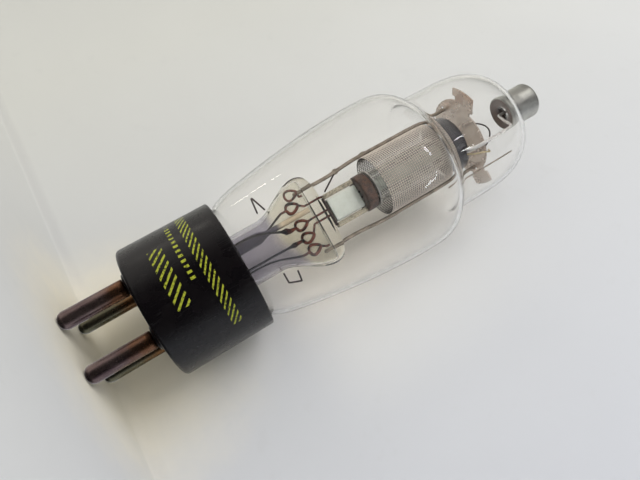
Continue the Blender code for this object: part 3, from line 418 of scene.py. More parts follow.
def noise(tree, where, scale, detail=3.0, roughness=0.5, distortion=0.0):
    made = node(tree, "ShaderNodeTexNoise", {"Vector": where, "Scale": scale, "Detail": detail,
                                             "Roughness": roughness, "Distortion": distortion})
    return made.outputs["Fac"]


def here(tree):
    return node(tree, "ShaderNodeTexCoord").outputs["Object"]


def stretched(tree, where, scale):
    return node(tree, "ShaderNodeMapping", {"Vector": where, "Scale": scale}).outputs["Vector"]


def split(tree, where):
    """The x, y and z of a place or direction."""
    return node(tree, "ShaderNodeSeparateXYZ", {0: where}).outputs


def dot(tree, a, b):
    return node(tree, "ShaderNodeVectorMath", {0: a, 1: b}, operation="DOT_PRODUCT").outputs["Value"]


def distance(tree, a, b):
    return node(tree, "ShaderNodeVectorMath", {0: a, 1: b}, operation="DISTANCE").outputs["Value"]


def off_axis(tree, where):
    """Distance of a place from the tube's axis."""
    flat = node(tree, "ShaderNodeVectorMath", {0: where, 1: (1.0, 1.0, 0.0)}, operation="MULTIPLY")
    return node(tree, "ShaderNodeVectorMath", {0: flat.outputs[0]}, operation="LENGTH").outputs["Value"]


def bump(tree, height, strength, rise):
    return node(tree, "ShaderNodeBump", {"Height": height, "Strength": strength, "Distance": rise}).outputs[0]


def times(tone, shares):
    """A colour with all its parts multiplied by one number, or each by its own."""
    return tuple(float(v) for v in np.multiply(tuple(tone), shares))


def arrange(tree):
    """Lay the nodes out in columns, by their distance from the last node."""
    depth = {n: 0 for n in tree.nodes}
    for _ in range(len(tree.nodes)):
        for link in tree.links:
            depth[link.from_node] = max(depth[link.from_node], depth[link.to_node] + 1)
    row = {}
    for n in tree.nodes:
        n.location = (-260 * depth[n], -220 * row.get(depth[n], 0))
        row[depth[n]] = row.get(depth[n], 0) + 1


def group(name, inputs, outputs, fill):
    """A shader node group with named sockets, built once by the fill function."""
    tree = bpy.data.node_groups.get(name)
    if tree is None:
        tree = bpy.data.node_groups.new(name, "ShaderNodeTree")
        for label, kind, default in inputs:
            socket = tree.interface.new_socket(name=label, in_out="INPUT", socket_type=kind)
            if default is not None:
                socket.default_value = default
        for label, kind in outputs:
            tree.interface.new_socket(name=label, in_out="OUTPUT", socket_type=kind)
        start = tree.nodes.new("NodeGroupInput")
        end = tree.nodes.new("NodeGroupOutput")
        for label, socket in fill(tree, start.outputs).items():
            tree.links.new(socket, end.inputs[label])
        arrange(tree)
    return tree


def use(tree, made_group, **inputs):
    """Place a group and give it its inputs, whose names have a low line for each space."""
    made = tree.nodes.new("ShaderNodeGroup")
    made.node_tree = made_group
    return feed(tree, made, {label.replace("_", " "): value for label, value in inputs.items()}).outputs


FLOAT, VECTOR = "NodeSocketFloat", "NodeSocketVector"


def mottle_group():
    """Soft patches and fine grain, and a height for bump made of both."""
    def fill(tree, given):
        soft = noise(tree, given["Where"], given["Patch Scale"], 4.0, 0.6)
        patches = between(tree, soft, 0.35, 0.68, smooth=True)
        grain = noise(tree, given["Where"], given["Grain Scale"], 2.0, 0.5)
        height = maths(tree, "MULTIPLY_ADD", patches, 0.4, grain)
        return {"Patches": patches, "Grain": grain, "Height": height}
    inputs = [("Where", VECTOR, None), ("Patch Scale", FLOAT, 300.0), ("Grain Scale", FLOAT, 3000.0)]
    return group("Mottle", inputs, [("Patches", FLOAT), ("Grain", FLOAT), ("Height", FLOAT)], fill)


def scratch_group():
    """Thin lines in two directions, where a stretched noise crosses its middle value, and only in places."""
    def fill(tree, given):
        lines = []
        for turn in (0.35, -0.9):
            turned = node(tree, "ShaderNodeMapping", {
                "Vector": given["Where"], "Rotation": (0.2, turn, turn), "Scale": (1.0, 1.0, 0.06)})
            value = noise(tree, turned.outputs["Vector"], given["Scale"], 2.0, 0.6)
            off = maths(tree, "ABSOLUTE", maths(tree, "SUBTRACT", value, 0.5))
            lines.append(between(tree, off, 0.0, 0.012, 1.0, 0.0))
        where = noise(tree, given["Where"], maths(tree, "MULTIPLY", given["Scale"], 0.4), 2.0)
        mask = maths(tree, "MULTIPLY", maths(tree, "MAXIMUM", *lines), between(tree, where, 0.45, 0.62))
        return {"Mask": mask}
    return group("Scratches", [("Where", VECTOR, None), ("Scale", FLOAT, 400.0)], [("Mask", FLOAT)], fill)


def drawn_group():
    """Fine lines along Z, as drawing or spinning leaves on metal, and slow patches of tarnish."""
    def fill(tree, given):
        fine = noise(tree, stretched(tree, given["Where"], (1.0, 1.0, 0.03)), given["Line Scale"], 3.0, 0.6)
        slow = noise(tree, given["Where"], given["Patch Scale"], 5.0, 0.65, 0.4)
        return {"Lines": fine, "Tarnish": between(tree, slow, 0.40, 0.64, smooth=True)}
    inputs = [("Where", VECTOR, None), ("Line Scale", FLOAT, 6000.0), ("Patch Scale", FLOAT, 500.0)]
    return group("Drawn Metal", inputs, [("Lines", FLOAT), ("Tarnish", FLOAT)], fill)


def bars_group():
    """Printed bars round the base: inside an angle range and a height band, cut into slanted dashes."""
    def fill(tree, given):
        x, y, z = split(tree, given["Where"])
        turned = maths(tree, "SUBTRACT", maths(tree, "ARCTAN2", y, x), given["Middle"])
        rise = maths(tree, "SUBTRACT", z, given["Height"])
        inside = maths(tree, "MULTIPLY",
                       maths(tree, "LESS_THAN", maths(tree, "ABSOLUTE", rise), given["Half Height"]),
                       maths(tree, "LESS_THAN", maths(tree, "ABSOLUTE", turned), given["Half Angle"]))
        slanted = maths(tree, "ADD", turned, maths(tree, "MULTIPLY", rise, given["Slant"]))
        step = maths(tree, "FRACT", maths(tree, "DIVIDE", maths(tree, "ADD", slanted, 10.0), given["Dash"]))
        ink = maths(tree, "LESS_THAN", step, given["Fill"])
        return {"Mask": maths(tree, "MULTIPLY", inside, ink)}
    inputs = [("Where", VECTOR, None), ("Height", FLOAT, 0.0), ("Half Height", FLOAT, 0.001),
              ("Middle", FLOAT, 0.0), ("Half Angle", FLOAT, 0.5), ("Slant", FLOAT, 0.0),
              ("Dash", FLOAT, 0.1), ("Fill", FLOAT, 0.7)]
    return group("Printed Bars", inputs, [("Mask", FLOAT)], fill)


# Finishes

def new_finish(name):
    """A new material, its tree and its Principled shader."""
    material = bpy.data.materials.new(name)
    material.use_nodes = True
    tree = material.node_tree
    return material, tree, tree.nodes["Principled BSDF"]


def finish_once(name, fill):
    """Make the material the first time it is asked for."""
    def make():
        material = bpy.data.materials.get(name)
        if material is None:
            material, tree, shader = new_finish(name)
            fill(tree, shader)
            arrange(tree)
        return material
    return make


def settings():
    return bpy.context.scene


# Printed bars on the base, each row with the inputs of its group
PRINT_ROWS = [
    {"Height": 0.0302, "Half_Height": 0.00105, "Middle": np.radians(-107), "Half_Angle": 1.02,
     "Slant": 90.0, "Dash": 0.105, "Fill": 0.38},
    {"Height": 0.0270, "Half_Height": 0.00050, "Middle": np.radians(-125), "Half_Angle": 0.54,
     "Slant": 0.0, "Dash": 0.085, "Fill": 0.46},
    {"Height": 0.0230, "Half_Height": 0.00150, "Middle": np.radians(-108), "Half_Angle": 0.46,
     "Slant": 60.0, "Dash": 0.115, "Fill": 0.36},
]


def fill_moulding(tree, shader):
    """Black-brown moulding: faint patches, fine scratches, soft gloss, and the worn printed bars."""
    base = settings().tube_base
    where = here(tree)
    mottle = use(tree, mottle_group(), Where=where, Patch_Scale=260.0, Grain_Scale=5200.0)
    scratches = use(tree, scratch_group(), Where=where, Scale=700.0)["Mask"]
    dark = tuple(base.moulding)
    patches = maths(tree, "MULTIPLY", mottle["Patches"], 0.55)
    body = blend(tree, patches, dark, times(dark, (1.8, 1.5, 1.4)))
    body = blend(tree, maths(tree, "MULTIPLY", scratches, 0.05), body, (0.16, 0.15, 0.14))
    rows = [use(tree, bars_group(), Where=where, **row)["Mask"] for row in PRINT_ROWS]
    ink = maths(tree, "MAXIMUM", maths(tree, "MAXIMUM", rows[0], rows[1]), rows[2])
    worn = between(tree, noise(tree, where, 2200.0, 3.0, 0.7), 0.36, 0.50)
    body = blend(tree, maths(tree, "MULTIPLY", ink, worn), body, tuple(base.print_ink))
    gloss = between(tree, mottle["Patches"], 0.0, 1.0, 0.24, 0.32)
    feed(tree, shader, {
        "Base Color": body,
        "Roughness": maths(tree, "MULTIPLY_ADD", scratches, 0.12, gloss),
        "Normal": bump(tree, mottle["Height"], 0.10, 0.00005),
        "Specular IOR Level": 0.42})


def fill_pin(tree, shader):
    """Tarnished plated brass: dark streaks, pale spots and an orange-brown stain at the root.

    The pins on the +Y side are darker and greener.
    """
    base = settings().tube_base
    where = here(tree)
    drawn = use(tree, drawn_group(), Where=where, Line_Scale=5200.0, Patch_Scale=620.0)
    _, y, z = split(tree, where)
    metal = tuple(base.pin_metal)
    streaks = noise(tree, stretched(tree, where, (1.0, 1.0, 0.12)), 900.0, 3.0, 0.6)
    body = blend(tree, between(tree, streaks, 0.40, 0.62), metal, times(metal, (0.50, 0.45, 0.52)))
    body = blend(tree, between(tree, y, -0.001, 0.001), body, times(metal, (0.62, 0.78, 0.55)))
    spots = between(tree, noise(tree, where, 2400.0, 4.0, 0.7), 0.60, 0.70)
    body = blend(tree, maths(tree, "MULTIPLY", spots, 0.4), body, (0.40, 0.34, 0.22))
    level = maths(tree, "ADD", z, maths(tree, "MULTIPLY", noise(tree, where, 260.0, 3.0), 0.008))
    root = maths(tree, "MULTIPLY", between(tree, level, 0.0115, 0.0165, smooth=True), 0.70)
    rough = between(tree, drawn["Tarnish"], 0.0, 1.0, 0.20, 0.30)
    feed(tree, shader, {
        "Base Color": blend(tree, root, body, tuple(base.pin_stain)),
        "Roughness": maths(tree, "MULTIPLY_ADD", drawn["Lines"], 0.06, rough),
        "Normal": bump(tree, drawn["Lines"], 0.06, 0.00004),
        "Metallic": 0.95})


def glass_filler(tint, ior, waves, shade, low_tint=None):
    """Clear glass with a faint blown ripple, which lets lamps through and has painted shade at its edges,
    where it turns edge-on to the view, standing in for dark reflections.

    With a low tint, the glass has that colour below a level that rises towards +X.
    """
    def fill(tree, shader):
        where = here(tree)
        ripple = noise(tree, stretched(tree, where, (1.0, 1.0, 0.45)), 110.0, 2.0, 0.4)
        inside = tuple(tint())
        if low_tint:
            x, _, z = split(tree, where)
            lean = maths(tree, "MULTIPLY", maths(tree, "MAXIMUM", x, 0.0), 0.45)
            level = maths(tree, "SUBTRACT", z, lean)
            level = maths(tree, "MULTIPLY_ADD", noise(tree, where, 300.0), 0.0016, level)
            high = between(tree, level, BASE_RIM + 0.0098, BASE_RIM + 0.0122, smooth=True)
            inside = blend(tree, high, tuple(low_tint()), inside)
        # Painted shade: the glass turns dark where it is seen edge-on, in place of dark reflections.
        edge = node(tree, "ShaderNodeLayerWeight", {"Blend": 0.5}).outputs["Facing"]
        feed(tree, shader, {
            "Base Color": blend(tree, maths(tree, "POWER", edge, 7.0), inside, times(shade, 0.12)),
            "Normal": bump(tree, ripple, waves, 0.0006),
            "Roughness": 0.0,
            "IOR": ior,
            "Transmission Weight": 1.0})
        slant = node(tree, "ShaderNodeLayerWeight", {"Blend": 0.25}).outputs["Facing"]
        shadow = blend(tree, maths(tree, "POWER", slant, 6.0), (1.0, 0.995, 0.99),
                       tuple(0.5 + 0.5 * v for v in shade))
        clear = node(tree, "ShaderNodeBsdfTransparent", {"Color": shadow})
        lamps = node(tree, "ShaderNodeLightPath").outputs["Is Shadow Ray"]
        mixed = node(tree, "ShaderNodeMixShader", {0: lamps, 1: shader.outputs[0], 2: clear.outputs[0]})
        feed(tree, tree.nodes["Material Output"], {"Surface": mixed.outputs[0]})
    return fill


def metal_filler(tone, rough, line_scale, patch_scale, dark, metallic=1.0):
    """Drawn metal with fine lines and patches of tarnish, where the tone is dark times itself."""
    def fill(tree, shader):
        drawn = use(tree, drawn_group(), Where=here(tree), Line_Scale=line_scale, Patch_Scale=patch_scale)
        bright = tuple(tone())
        low = between(tree, drawn["Tarnish"], 0.0, 1.0, rough, min(rough + 0.18, 0.9))
        tarnish = maths(tree, "MULTIPLY", drawn["Tarnish"], 0.7)
        feed(tree, shader, {
            "Base Color": blend(tree, tarnish, bright, times(bright, dark)),
            "Roughness": maths(tree, "MULTIPLY_ADD", drawn["Lines"], 0.08, low),
            "Normal": bump(tree, drawn["Lines"], 0.08, 0.00003),
            "Metallic": metallic})
    return fill


def fill_gauze(tree, shader):
    """Woven wire with slow patches of tarnish, whose inner side is made dark by painted shade while its outer
    side keeps the wire's bright colour.
    """
    electrodes = settings().tube_electrodes
    where = here(tree)
    drawn = use(tree, drawn_group(), Where=where, Line_Scale=9000.0, Patch_Scale=240.0)
    crest = electrodes.gauze_radius + 2 * electrodes.gauze_wire
    # Painted shade: inside the weave the colour falls to a twentieth of the wire's.
    outer = between(tree, off_axis(tree, where), electrodes.gauze_radius - 0.00006, crest - 0.00010)
    bright = tuple(electrodes.gauze_metal)
    body = blend(tree, maths(tree, "MULTIPLY", drawn["Tarnish"], 0.3), bright, times(bright, 0.7))
    feed(tree, shader, {
        "Base Color": blend(tree, outer, times(bright, 0.05), body),
        "Roughness": maths(tree, "MULTIPLY_ADD", drawn["Lines"], 0.10, 0.26),
        "Metallic": 0.15})


def fill_lead(tree, shader):
    """Copper lead, darkened in patches of tarnish, and nearly black below its loop, a painted shade where it
    runs down into the stem.
    """
    where = here(tree)
    drawn = use(tree, drawn_group(), Where=where, Line_Scale=6000.0, Patch_Scale=900.0)
    copper = tuple(settings().tube_electrodes.copper)
    body = blend(tree, drawn["Tarnish"], copper, (0.012, 0.008, 0.009))
    # Painted shade: below the loop, down in the stem, the lead is made nearly black.
    low = between(tree, split(tree, where)[2], BASE_RIM + 0.0120, BASE_RIM + 0.0145, 1.0, 0.0)
    feed(tree, shader, {
        "Base Color": blend(tree, low, body, (0.010, 0.007, 0.012)),
        "Roughness": maths(tree, "MULTIPLY_ADD", drawn["Lines"], 0.10, 0.24),
        "Metallic": 0.8})


def fill_exhaust(tree, shader):
    """Exhaust tube: dark glazed glass below the press, whose navy colour is a painted reflection of the
    base's dark inside, and opaque cream glass where it runs up it.
    """
    where = here(tree)
    grain = noise(tree, where, 700.0, 3.0)
    level = maths(tree, "MULTIPLY_ADD", grain, 0.0012, split(tree, where)[2])
    cream = between(tree, level, BASE_RIM + 0.0118, BASE_RIM + 0.0130)
    feed(tree, shader, {
        # Painted reflection: below the cream the glass takes the dark navy of the base's inside.
        "Base Color": blend(tree, cream, (0.070, 0.064, 0.095), (0.70, 0.60, 0.47)),
        "Roughness": between(tree, grain, 0.3, 0.7, 0.08, 0.22),
        "Coat Weight": 0.6})


def fill_ceramic(tree, shader):
    """Matt fired ceramic: greenish white with faint grey smudges and a fine grain."""
    white = tuple(settings().tube_electrodes.ceramic)
    mottle = use(tree, mottle_group(), Where=here(tree), Patch_Scale=520.0, Grain_Scale=9000.0)
    smudges = maths(tree, "MULTIPLY", mottle["Patches"], 0.5)
    feed(tree, shader, {
        "Base Color": blend(tree, smudges, white, times(white, (0.80, 0.80, 0.76))),
        "Roughness": between(tree, mottle["Grain"], 0.3, 0.7, 0.42, 0.62),
        "Normal": bump(tree, mottle["Height"], 0.25, 0.00004)})


def bush_filler(tone, rough, coat):
    """Dark fired bush with brown patches and a glaze of the given weight."""
    def fill(tree, shader):
        dark = tuple(tone())
        mottle = use(tree, mottle_group(), Where=here(tree), Patch_Scale=620.0, Grain_Scale=6000.0)
        feed(tree, shader, {
            "Base Color": blend(tree, mottle["Patches"], dark, times(dark, (2.4, 1.9, 1.6))),
            "Roughness": between(tree, mottle["Grain"], 0.3, 0.7, rough, rough + 0.15),
            "Normal": bump(tree, mottle["Height"], 0.2, 0.00004),
            "Coat Weight": coat,
            "Coat Roughness": 0.06})
    return fill


def fill_mica(tree, shader):
    """Mica: half clear pinkish brown with flaked layers, darker streaks and an orange-brown stain."""
    where = here(tree)
    tone = tuple(settings().tube_electrodes.mica)
    flakes = noise(tree, stretched(tree, where, (1.0, 0.35, 1.0)), 420.0, 4.0, 0.65, 0.6)
    stain = between(tree, noise(tree, where, 95.0, 2.0, 0.5), 0.50, 0.66, smooth=True)
    body = blend(tree, between(tree, flakes, 0.35, 0.65), tone, times(tone, (0.80, 0.77, 0.77)))
    feed(tree, shader, {
        "Base Color": blend(tree, maths(tree, "MULTIPLY", stain, 0.45), body, (0.60, 0.30, 0.15)),
        "Roughness": between(tree, flakes, 0.3, 0.7, 0.14, 0.34),
        "Normal": bump(tree, flakes, 0.15, 0.00008),
        "Transmission Weight": 0.65,
        "IOR": 1.56})


def fill_cement(tree, shader):
    """Dark baked cement with coarse paler grains."""
    tone = tuple(settings().tube_cap.cement)
    mottle = use(tree, mottle_group(), Where=here(tree), Patch_Scale=900.0, Grain_Scale=4200.0)
    feed(tree, shader, {
        "Base Color": blend(tree, mottle["Grain"], tone, tuple(min(v * 3.2, 1.0) for v in tone)),
        "Normal": bump(tree, mottle["Height"], 0.7, 0.00012),
        "Roughness": 0.8})


BULB_GLASS = glass_filler(lambda: settings().tube_glass.bulb_tint, 1.34, 0.06, (0.55, 0.53, 0.50))
STEM_GLASS = glass_filler(lambda: settings().tube_glass.press_tint, 1.52, 0.35, (0.60, 0.60, 0.64),
                          lambda: settings().tube_glass.stem_tint)
BRIGHT_NICKEL = metal_filler(lambda: (0.70, 0.68, 0.63), 0.18, 7000.0, 500.0, 0.6, 0.6)
BRIGHT_LEAD = metal_filler(lambda: (0.90, 0.88, 0.86), 0.18, 7000.0, 500.0, 0.8, 0.35)
DULL_NICKEL = metal_filler(lambda: (0.38, 0.32, 0.255), 0.28, 7000.0, 420.0, 0.5, 0.7)
SIDE_RAIL = metal_filler(lambda: (0.56, 0.50, 0.38), 0.22, 7000.0, 1300.0, 0.10, 0.6)
DARK_METAL = metal_filler(lambda: (0.060, 0.040, 0.036), 0.36, 6000.0, 500.0, 0.5, 0.6)
YELLOW_STRAP = metal_filler(lambda: (0.72, 0.60, 0.38), 0.20, 7000.0, 500.0, 0.6, 0.6)
CAP_METAL = metal_filler(lambda: settings().tube_cap.metal, 0.28, 5200.0, 260.0, 0.72)
BROWN_BUSH = bush_filler(lambda: settings().tube_electrodes.bush, 0.42, 0.15)
GLAZED_BUSH = bush_filler(lambda: settings().tube_electrodes.glaze, 0.20, 0.9)

# Each finish with the function that makes its material, and its slot
FINISHES = {
    "moulding": (finish_once("Black Moulding", fill_moulding), "phenolic"),
    "pin": (finish_once("Tarnished Pin", fill_pin), "tarnished_brass"),
    "bulb": (finish_once("Bulb Glass", BULB_GLASS), "clear_glass"),
    "stem": (finish_once("Stem Glass", STEM_GLASS), "stem_glass"),
    "exhaust": (finish_once("Exhaust Glass", fill_exhaust), "stem_glass"),
    "gauze": (finish_once("Woven Gauze", fill_gauze), "gauze"),
    "nickel": (finish_once("Bright Nickel", BRIGHT_NICKEL), "nickel"),
    "lead": (finish_once("Bright Lead", BRIGHT_LEAD), "nickel"),
    "dull": (finish_once("Dull Nickel", DULL_NICKEL), "dull_nickel"),
    "rail": (finish_once("Side Rail", SIDE_RAIL), "dull_nickel"),
    "dark": (finish_once("Dark Metal", DARK_METAL), "dark_steel"),
    "copper": (finish_once("Copper Lead", fill_lead), "copper_lead"),
    "ceramic": (finish_once("White Ceramic", fill_ceramic), "white_ceramic"),
    "bush": (finish_once("Brown Bush", BROWN_BUSH), "brown_ceramic"),
    "glaze": (finish_once("Glazed Bush", GLAZED_BUSH), "brown_ceramic"),
    "brass": (finish_once("Yellow Strap", YELLOW_STRAP), "nickel"),
    "mica": (finish_once("Mica", fill_mica), "mica"),
    "cement": (finish_once("Cement", fill_cement), "cement"),
    "cap": (finish_once("Cap Metal", CAP_METAL), "cap_metal"),
}


# Glass, with heights above the rim of the base

def neck_radius(height):
    """Neck below the rim: the base's inner radius less the gap, drawn in by a smooth step."""
    return BASE_RADIUS - BASE_WALL - GAP - 0.0014 * smooth_step(-height / 0.0033)


def body_radius(height):
    """From neck to widest level, by a fifth as 1 - exp(-h / 2 mm) and by the rest as 1 - (1 - t)^1.7.

    Here t is the height as a share of the widest level's.
    """
    glass = settings().tube_glass
    neck = neck_radius(np.zeros(1))[0]
    t = np.clip(height / WIDEST_HEIGHT, 0.0, 1.0)
    grown = 0.2 * (1 - np.exp(-height / 0.0020)) + 0.8 * (1 - (1 - t) ** 1.7)
    return neck + (glass.bulb_radius - neck) * grown


def shoulder_radius(height):
    """Shoulder that drops as t^3.5, and runs into the dome's cylinder with a small fillet.

    The fillet is the smooth larger one of the two: their mean plus the root of half their difference
    squared plus the fillet squared.
    """
    glass = settings().tube_glass
    fillet = 0.0003
    t = np.maximum(height - WIDEST_HEIGHT, 0.0) / 0.0106
    above = (glass.bulb_radius - glass.dome_radius) * (1 - t ** 3.5)
    radius = glass.dome_radius + (above + np.sqrt(above ** 2 + 4 * fillet ** 2)) / 2
    return np.minimum(radius, glass.bulb_radius)


def dome_line(steps):
    """Squarish ellipse: radius = dome radius (1 - t^3.4)^0.4 at height foot + rise t, from the top down.

    The values of t lie closer together towards the top.
    """
    t = np.sin(np.linspace(np.pi / 2 * 0.985, 0.0, steps)) ** 0.62
    radius = settings().tube_glass.dome_radius * (1 - t ** 3.4) ** 0.4
    return np.stack([radius, DOME_FOOT + DOME_RISE * t], -1)


def dome_height(radius):
    """The dome's height at a radius, from the same ellipse: t = (1 - (r / dome radius)^2.5)^(1 / 3.4)."""
    share_out = radius / settings().tube_glass.dome_radius
    return DOME_FOOT + DOME_RISE * (1 - share_out ** 2.5) ** (1 / 3.4)


def bulb_line():
    """The bulb's outer line from the nipple's top down to the neck's end."""
    dome = dome_line(44)
    dome = dome[dome[:, 0] > 0.0034]
    nipple = np.array([[0.0017, 0.0791], [0.0017, 0.0775], [0.0017, 0.0764], [0.0022, 0.0760]])
    shoulder_z = np.concatenate([np.linspace(0.0565, 0.0520, 8)[:-1], np.linspace(0.0520, 0.0480, 26)[:-1],
                                 np.linspace(0.0480, WIDEST_HEIGHT, 20)])
    body_z = WIDEST_HEIGHT * np.linspace(1.0, 0.0, 46)[1:] ** 1.25
    neck_z = -0.0066 * np.linspace(0.0, 1.0, 8)[1:]
    return np.vstack([nipple, dome,
                      np.stack([shoulder_radius(shoulder_z), shoulder_z], -1),
                      np.stack([body_radius(body_z), body_z], -1),
                      np.stack([neck_radius(neck_z), neck_z], -1)])


class TUBE_OT_bulb(Operator):
    """Blown bulb of even wall: its outer line, and the same line moved inwards by the wall"""
    bl_idname = "tube.bulb"
    bl_label = "Glass Bulb"

    def execute(self, context):
        glass = context.scene.tube_glass
        outer = bulb_line()
        slope = np.gradient(outer, axis=0)
        slope /= np.linalg.norm(slope, axis=1, keepdims=True)
        inner = outer + glass.wall * np.stack([slope[:, 1], -slope[:, 0]], -1)
        inner[:, 0] = np.maximum(inner[:, 0], 0.0007)
        loop = np.vstack([outer, inner[::-1]]) + (0.0, BASE_RIM)
        piece("clear_bulb", *lathe(loop, glass.facets, closed=True), "bulb", ["glass_bulb"])
        return {"FINISHED"}


def stem_sections(levels, inset):
    """Sections of the stem: a circle that widens along X and flattens along Y by a smooth step.

    The flat press has squarer corners: x = |cos a|^p half width and y = |sin a|^p half depth. Its
    upper corners are rounded: there the half width falls by r (1 - sqrt(1 - t t)).
    """
    glass = settings().tube_glass
    bottom = NECK_BOTTOM - BASE_RIM
    flare_top, spread_bottom, corner = bottom + 0.0050, 0.0075, 0.0034
    flare_radius = neck_radius(np.array([bottom]))[0] - glass.wall - GAP
    flared = 1 - smooth_step((levels - bottom) / (flare_top - bottom))
    round_radius = glass.stem_radius + (flare_radius - glass.stem_radius) * flared
    widest = STEM_TOP - BASE_RIM - corner
    spread = smooth_step((levels - spread_bottom) / (widest - spread_bottom))
    half_width = round_radius + (glass.press_half_width - round_radius) * spread
    half_depth = round_radius + (glass.press_half_depth - round_radius) * spread
    above = 0.97 * np.clip((levels - widest) / corner, 0.0, 1.0)
    half_width = half_width - corner * (1 - np.sqrt(1 - above ** 2))
    power = (1 - 0.35 * (1 - half_depth / half_width))[:, None]
    around = 96
    angle = TURN * np.arange(around)[None, :] / around
    c, s = np.cos(angle), np.sin(angle)
    return stacked(np.sign(c) * np.abs(c) ** power * (half_width - inset)[:, None],
                   np.sign(s) * np.abs(s) ** power * (half_depth - inset)[:, None],
                   (BASE_RIM + levels)[:, None])


class TUBE_OT_stem(Operator):
    """Flared stem with its flat press, hollow up to the solid bar, and the tipped-off exhaust tube"""
    bl_idname = "tube.stem"
    bl_label = "Glass Stem"

    def execute(self, context):
        bottom = NECK_BOTTOM - BASE_RIM
        top = STEM_TOP - BASE_RIM
        outer_levels = top - (top - bottom) * np.linspace(0.0, 1.0, 72)
        outer = stem_sections(outer_levels, np.zeros(len(outer_levels)))
        edge = stem_sections(np.full(3, top), np.array([0.0006, 0.00025, 0.0]))
        edge[:, :, 2] += np.array([0.0, -0.00008, -0.00022])[:, None]
        roof_level = PRESS_UNDERSIDE - BASE_RIM
        inner_levels = np.linspace(bottom, roof_level, 56)
        inner = stem_sections(inner_levels, np.full(len(inner_levels), STEM_WALL))
        roof = stem_sections(np.full(2, roof_level), STEM_WALL + np.array([0.0003, 0.0006]))
        roof[:, :, 2] += np.array([0.00025, 0.00035])[:, None]
        piece("stem_press", *loft(np.concatenate([edge, outer[2:], inner, roof])), "stem", ["glass_stem"])

        tip, upper = bottom_of("exhaust_tube"), top_of("exhaust_tube")
        neck = BASE_RIM + 0.0090
        thin, thick, bore = 0.00065, 0.0015, 0.0003
        profile = np.vstack([
            [(0.0, tip + 0.0030), (bore, tip + 0.0034), (bore, upper), (thin, upper)],
            smooth_step_line((thin, neck), (thick, neck - 0.0030), 12),
            arc(0.0, tip + thick, thick, 0, -88, 12),
            [(0.0, tip)]])
        piece("exhaust_glass", *moved(lathe(profile, 32), x=-0.0028), "exhaust", ["exhaust_tube"])
        return {"FINISHED"}


# Base and pins

# Radius of each pin, and its angle in degrees round the base
PINS = {
    "small_pin_1": (SMALL_PIN_RADIUS, 32.6),
    "small_pin_2": (SMALL_PIN_RADIUS, 122.6),
    "large_pin_1": (LARGE_PIN_RADIUS, 212.6),
    "large_pin_2": (LARGE_PIN_RADIUS, 302.6),
}


class TUBE_OT_base(Operator):
    """Moulded base with rounded foot and rim, the bosses round its pins, and the cement inside"""
    bl_idname = "tube.base"
    bl_label = "Base"

    def execute(self, context):
        inner = BASE_RADIUS - BASE_WALL
        floor = BASE_BOTTOM + 0.0022
        foot = BASE_BOTTOM - 0.0010
        turn = context.scene.tube_base.edge_round
        profile = np.vstack([
            [(0.0, floor)],
            arc(inner - 0.0006, floor + 0.0006, 0.0006, -90, 0, 5),
            arc(inner + 0.0003, BASE_RIM - 0.0003, 0.0003, 180, 90, 4),
            arc(BASE_RADIUS - 0.0004, BASE_RIM - 0.0004, 0.0004, 90, 0, 6),
            straight(BASE_RADIUS, BASE_RIM - 0.002, BASE_BOTTOM + 0.002, 12),
            arc(BASE_RADIUS - turn, BASE_BOTTOM + turn, turn, 0, -90, 8),
            [(0.006, BASE_BOTTOM), (0.0, BASE_BOTTOM)]])
        parts = [lathe(profile, 128)]
        for radius, angle in PINS.values():
            wide = radius + 0.0014
            boss = np.vstack([
                [(0.0, BASE_BOTTOM + 0.0008), (wide, BASE_BOTTOM + 0.0008)],
                smooth_step_line((wide, BASE_BOTTOM), (radius + 0.0008, foot + 0.0003), 6),
                arc(radius + 0.0005, foot + 0.00025, 0.00025, 0, -90, 4),
                [(0.0, foot)]])
            x, y, _ = on_circle(PIN_CIRCLE, angle, 0.0)
            parts.append(moved(lathe(boss, 48), x, y))
        piece("moulded_base", *join(parts), "moulding", ["base_shell"])
        low, high = bottom_of("base_cement"), top_of("base_cement")
        ring = np.array([(0.0125, high - 0.0004), (0.0129, high), (0.0130, low), (0.0119, low)])
        piece("cement_ring", *lathe(ring, 96, closed=True), "cement", ["base_cement"])
        return {"FINISHED"}


class TUBE_OT_pins(Operator):
    """Hollow pins with rounded tips, a drawn shank and a riveted head inside the base"""
    bl_idname = "tube.pins"
    bl_label = "Pins"

    def execute(self, context):
        root = BASE_BOTTOM - 0.0013
        floor = BASE_BOTTOM + 0.0025
        bore, bore_bottom = 0.0007, 0.0040
        flat, tip_height = 0.0005, 0.0016
        bend = np.radians(np.linspace(0, -90, 12))
        for name, (radius, angle) in PINS.items():
            neck = radius - 0.0005
            head = [(0.0, bore_bottom), (bore, bore_bottom), (bore, floor + 0.0008),
                    (neck + 0.0006, floor + 0.0008), (neck + 0.0008, floor + 0.0005),
                    (neck + 0.0008, floor), (neck, floor), (neck, root), (radius - 0.0002, root)]
            tip = np.stack([flat + (radius - flat) * np.cos(bend), tip_height * (1 + np.sin(bend))], -1)
            profile = np.vstack([head, straight(radius, root - 0.0002, 0.0022, 8), tip, [(0.0, 0.0)]])
            x, y, _ = on_circle(PIN_CIRCLE, angle, 0.0)
            piece("contact_" + name, *moved(lathe(profile, 64), x, y), "pin", [name])
        return {"FINISHED"}


# Wires in the stem

def loop_line(middle_x, depth=0.0036, start=0.0):
    """One and a half turns of a pointed loop that stands flat in the press and moves along Y as it turns.

    It is an oval with half axes of 1.05 mm and 1.5 mm that narrows towards its top: x = a cos t (1 -
    0.45 sin t), z = b sin t. The start is the share of the turns that is left out.
    """
    t = np.linspace(start, 1.0, 44)
    angle = np.radians(-90 + 540 * t)
    narrowed = 0.00105 * np.cos(angle) * (1 - 0.45 * np.sin(angle))
    return stacked(middle_x + narrowed, 0.0009 * (1.5 * t - 0.75),
                   PRESS_UNDERSIDE - depth + 0.0015 * np.sin(angle))


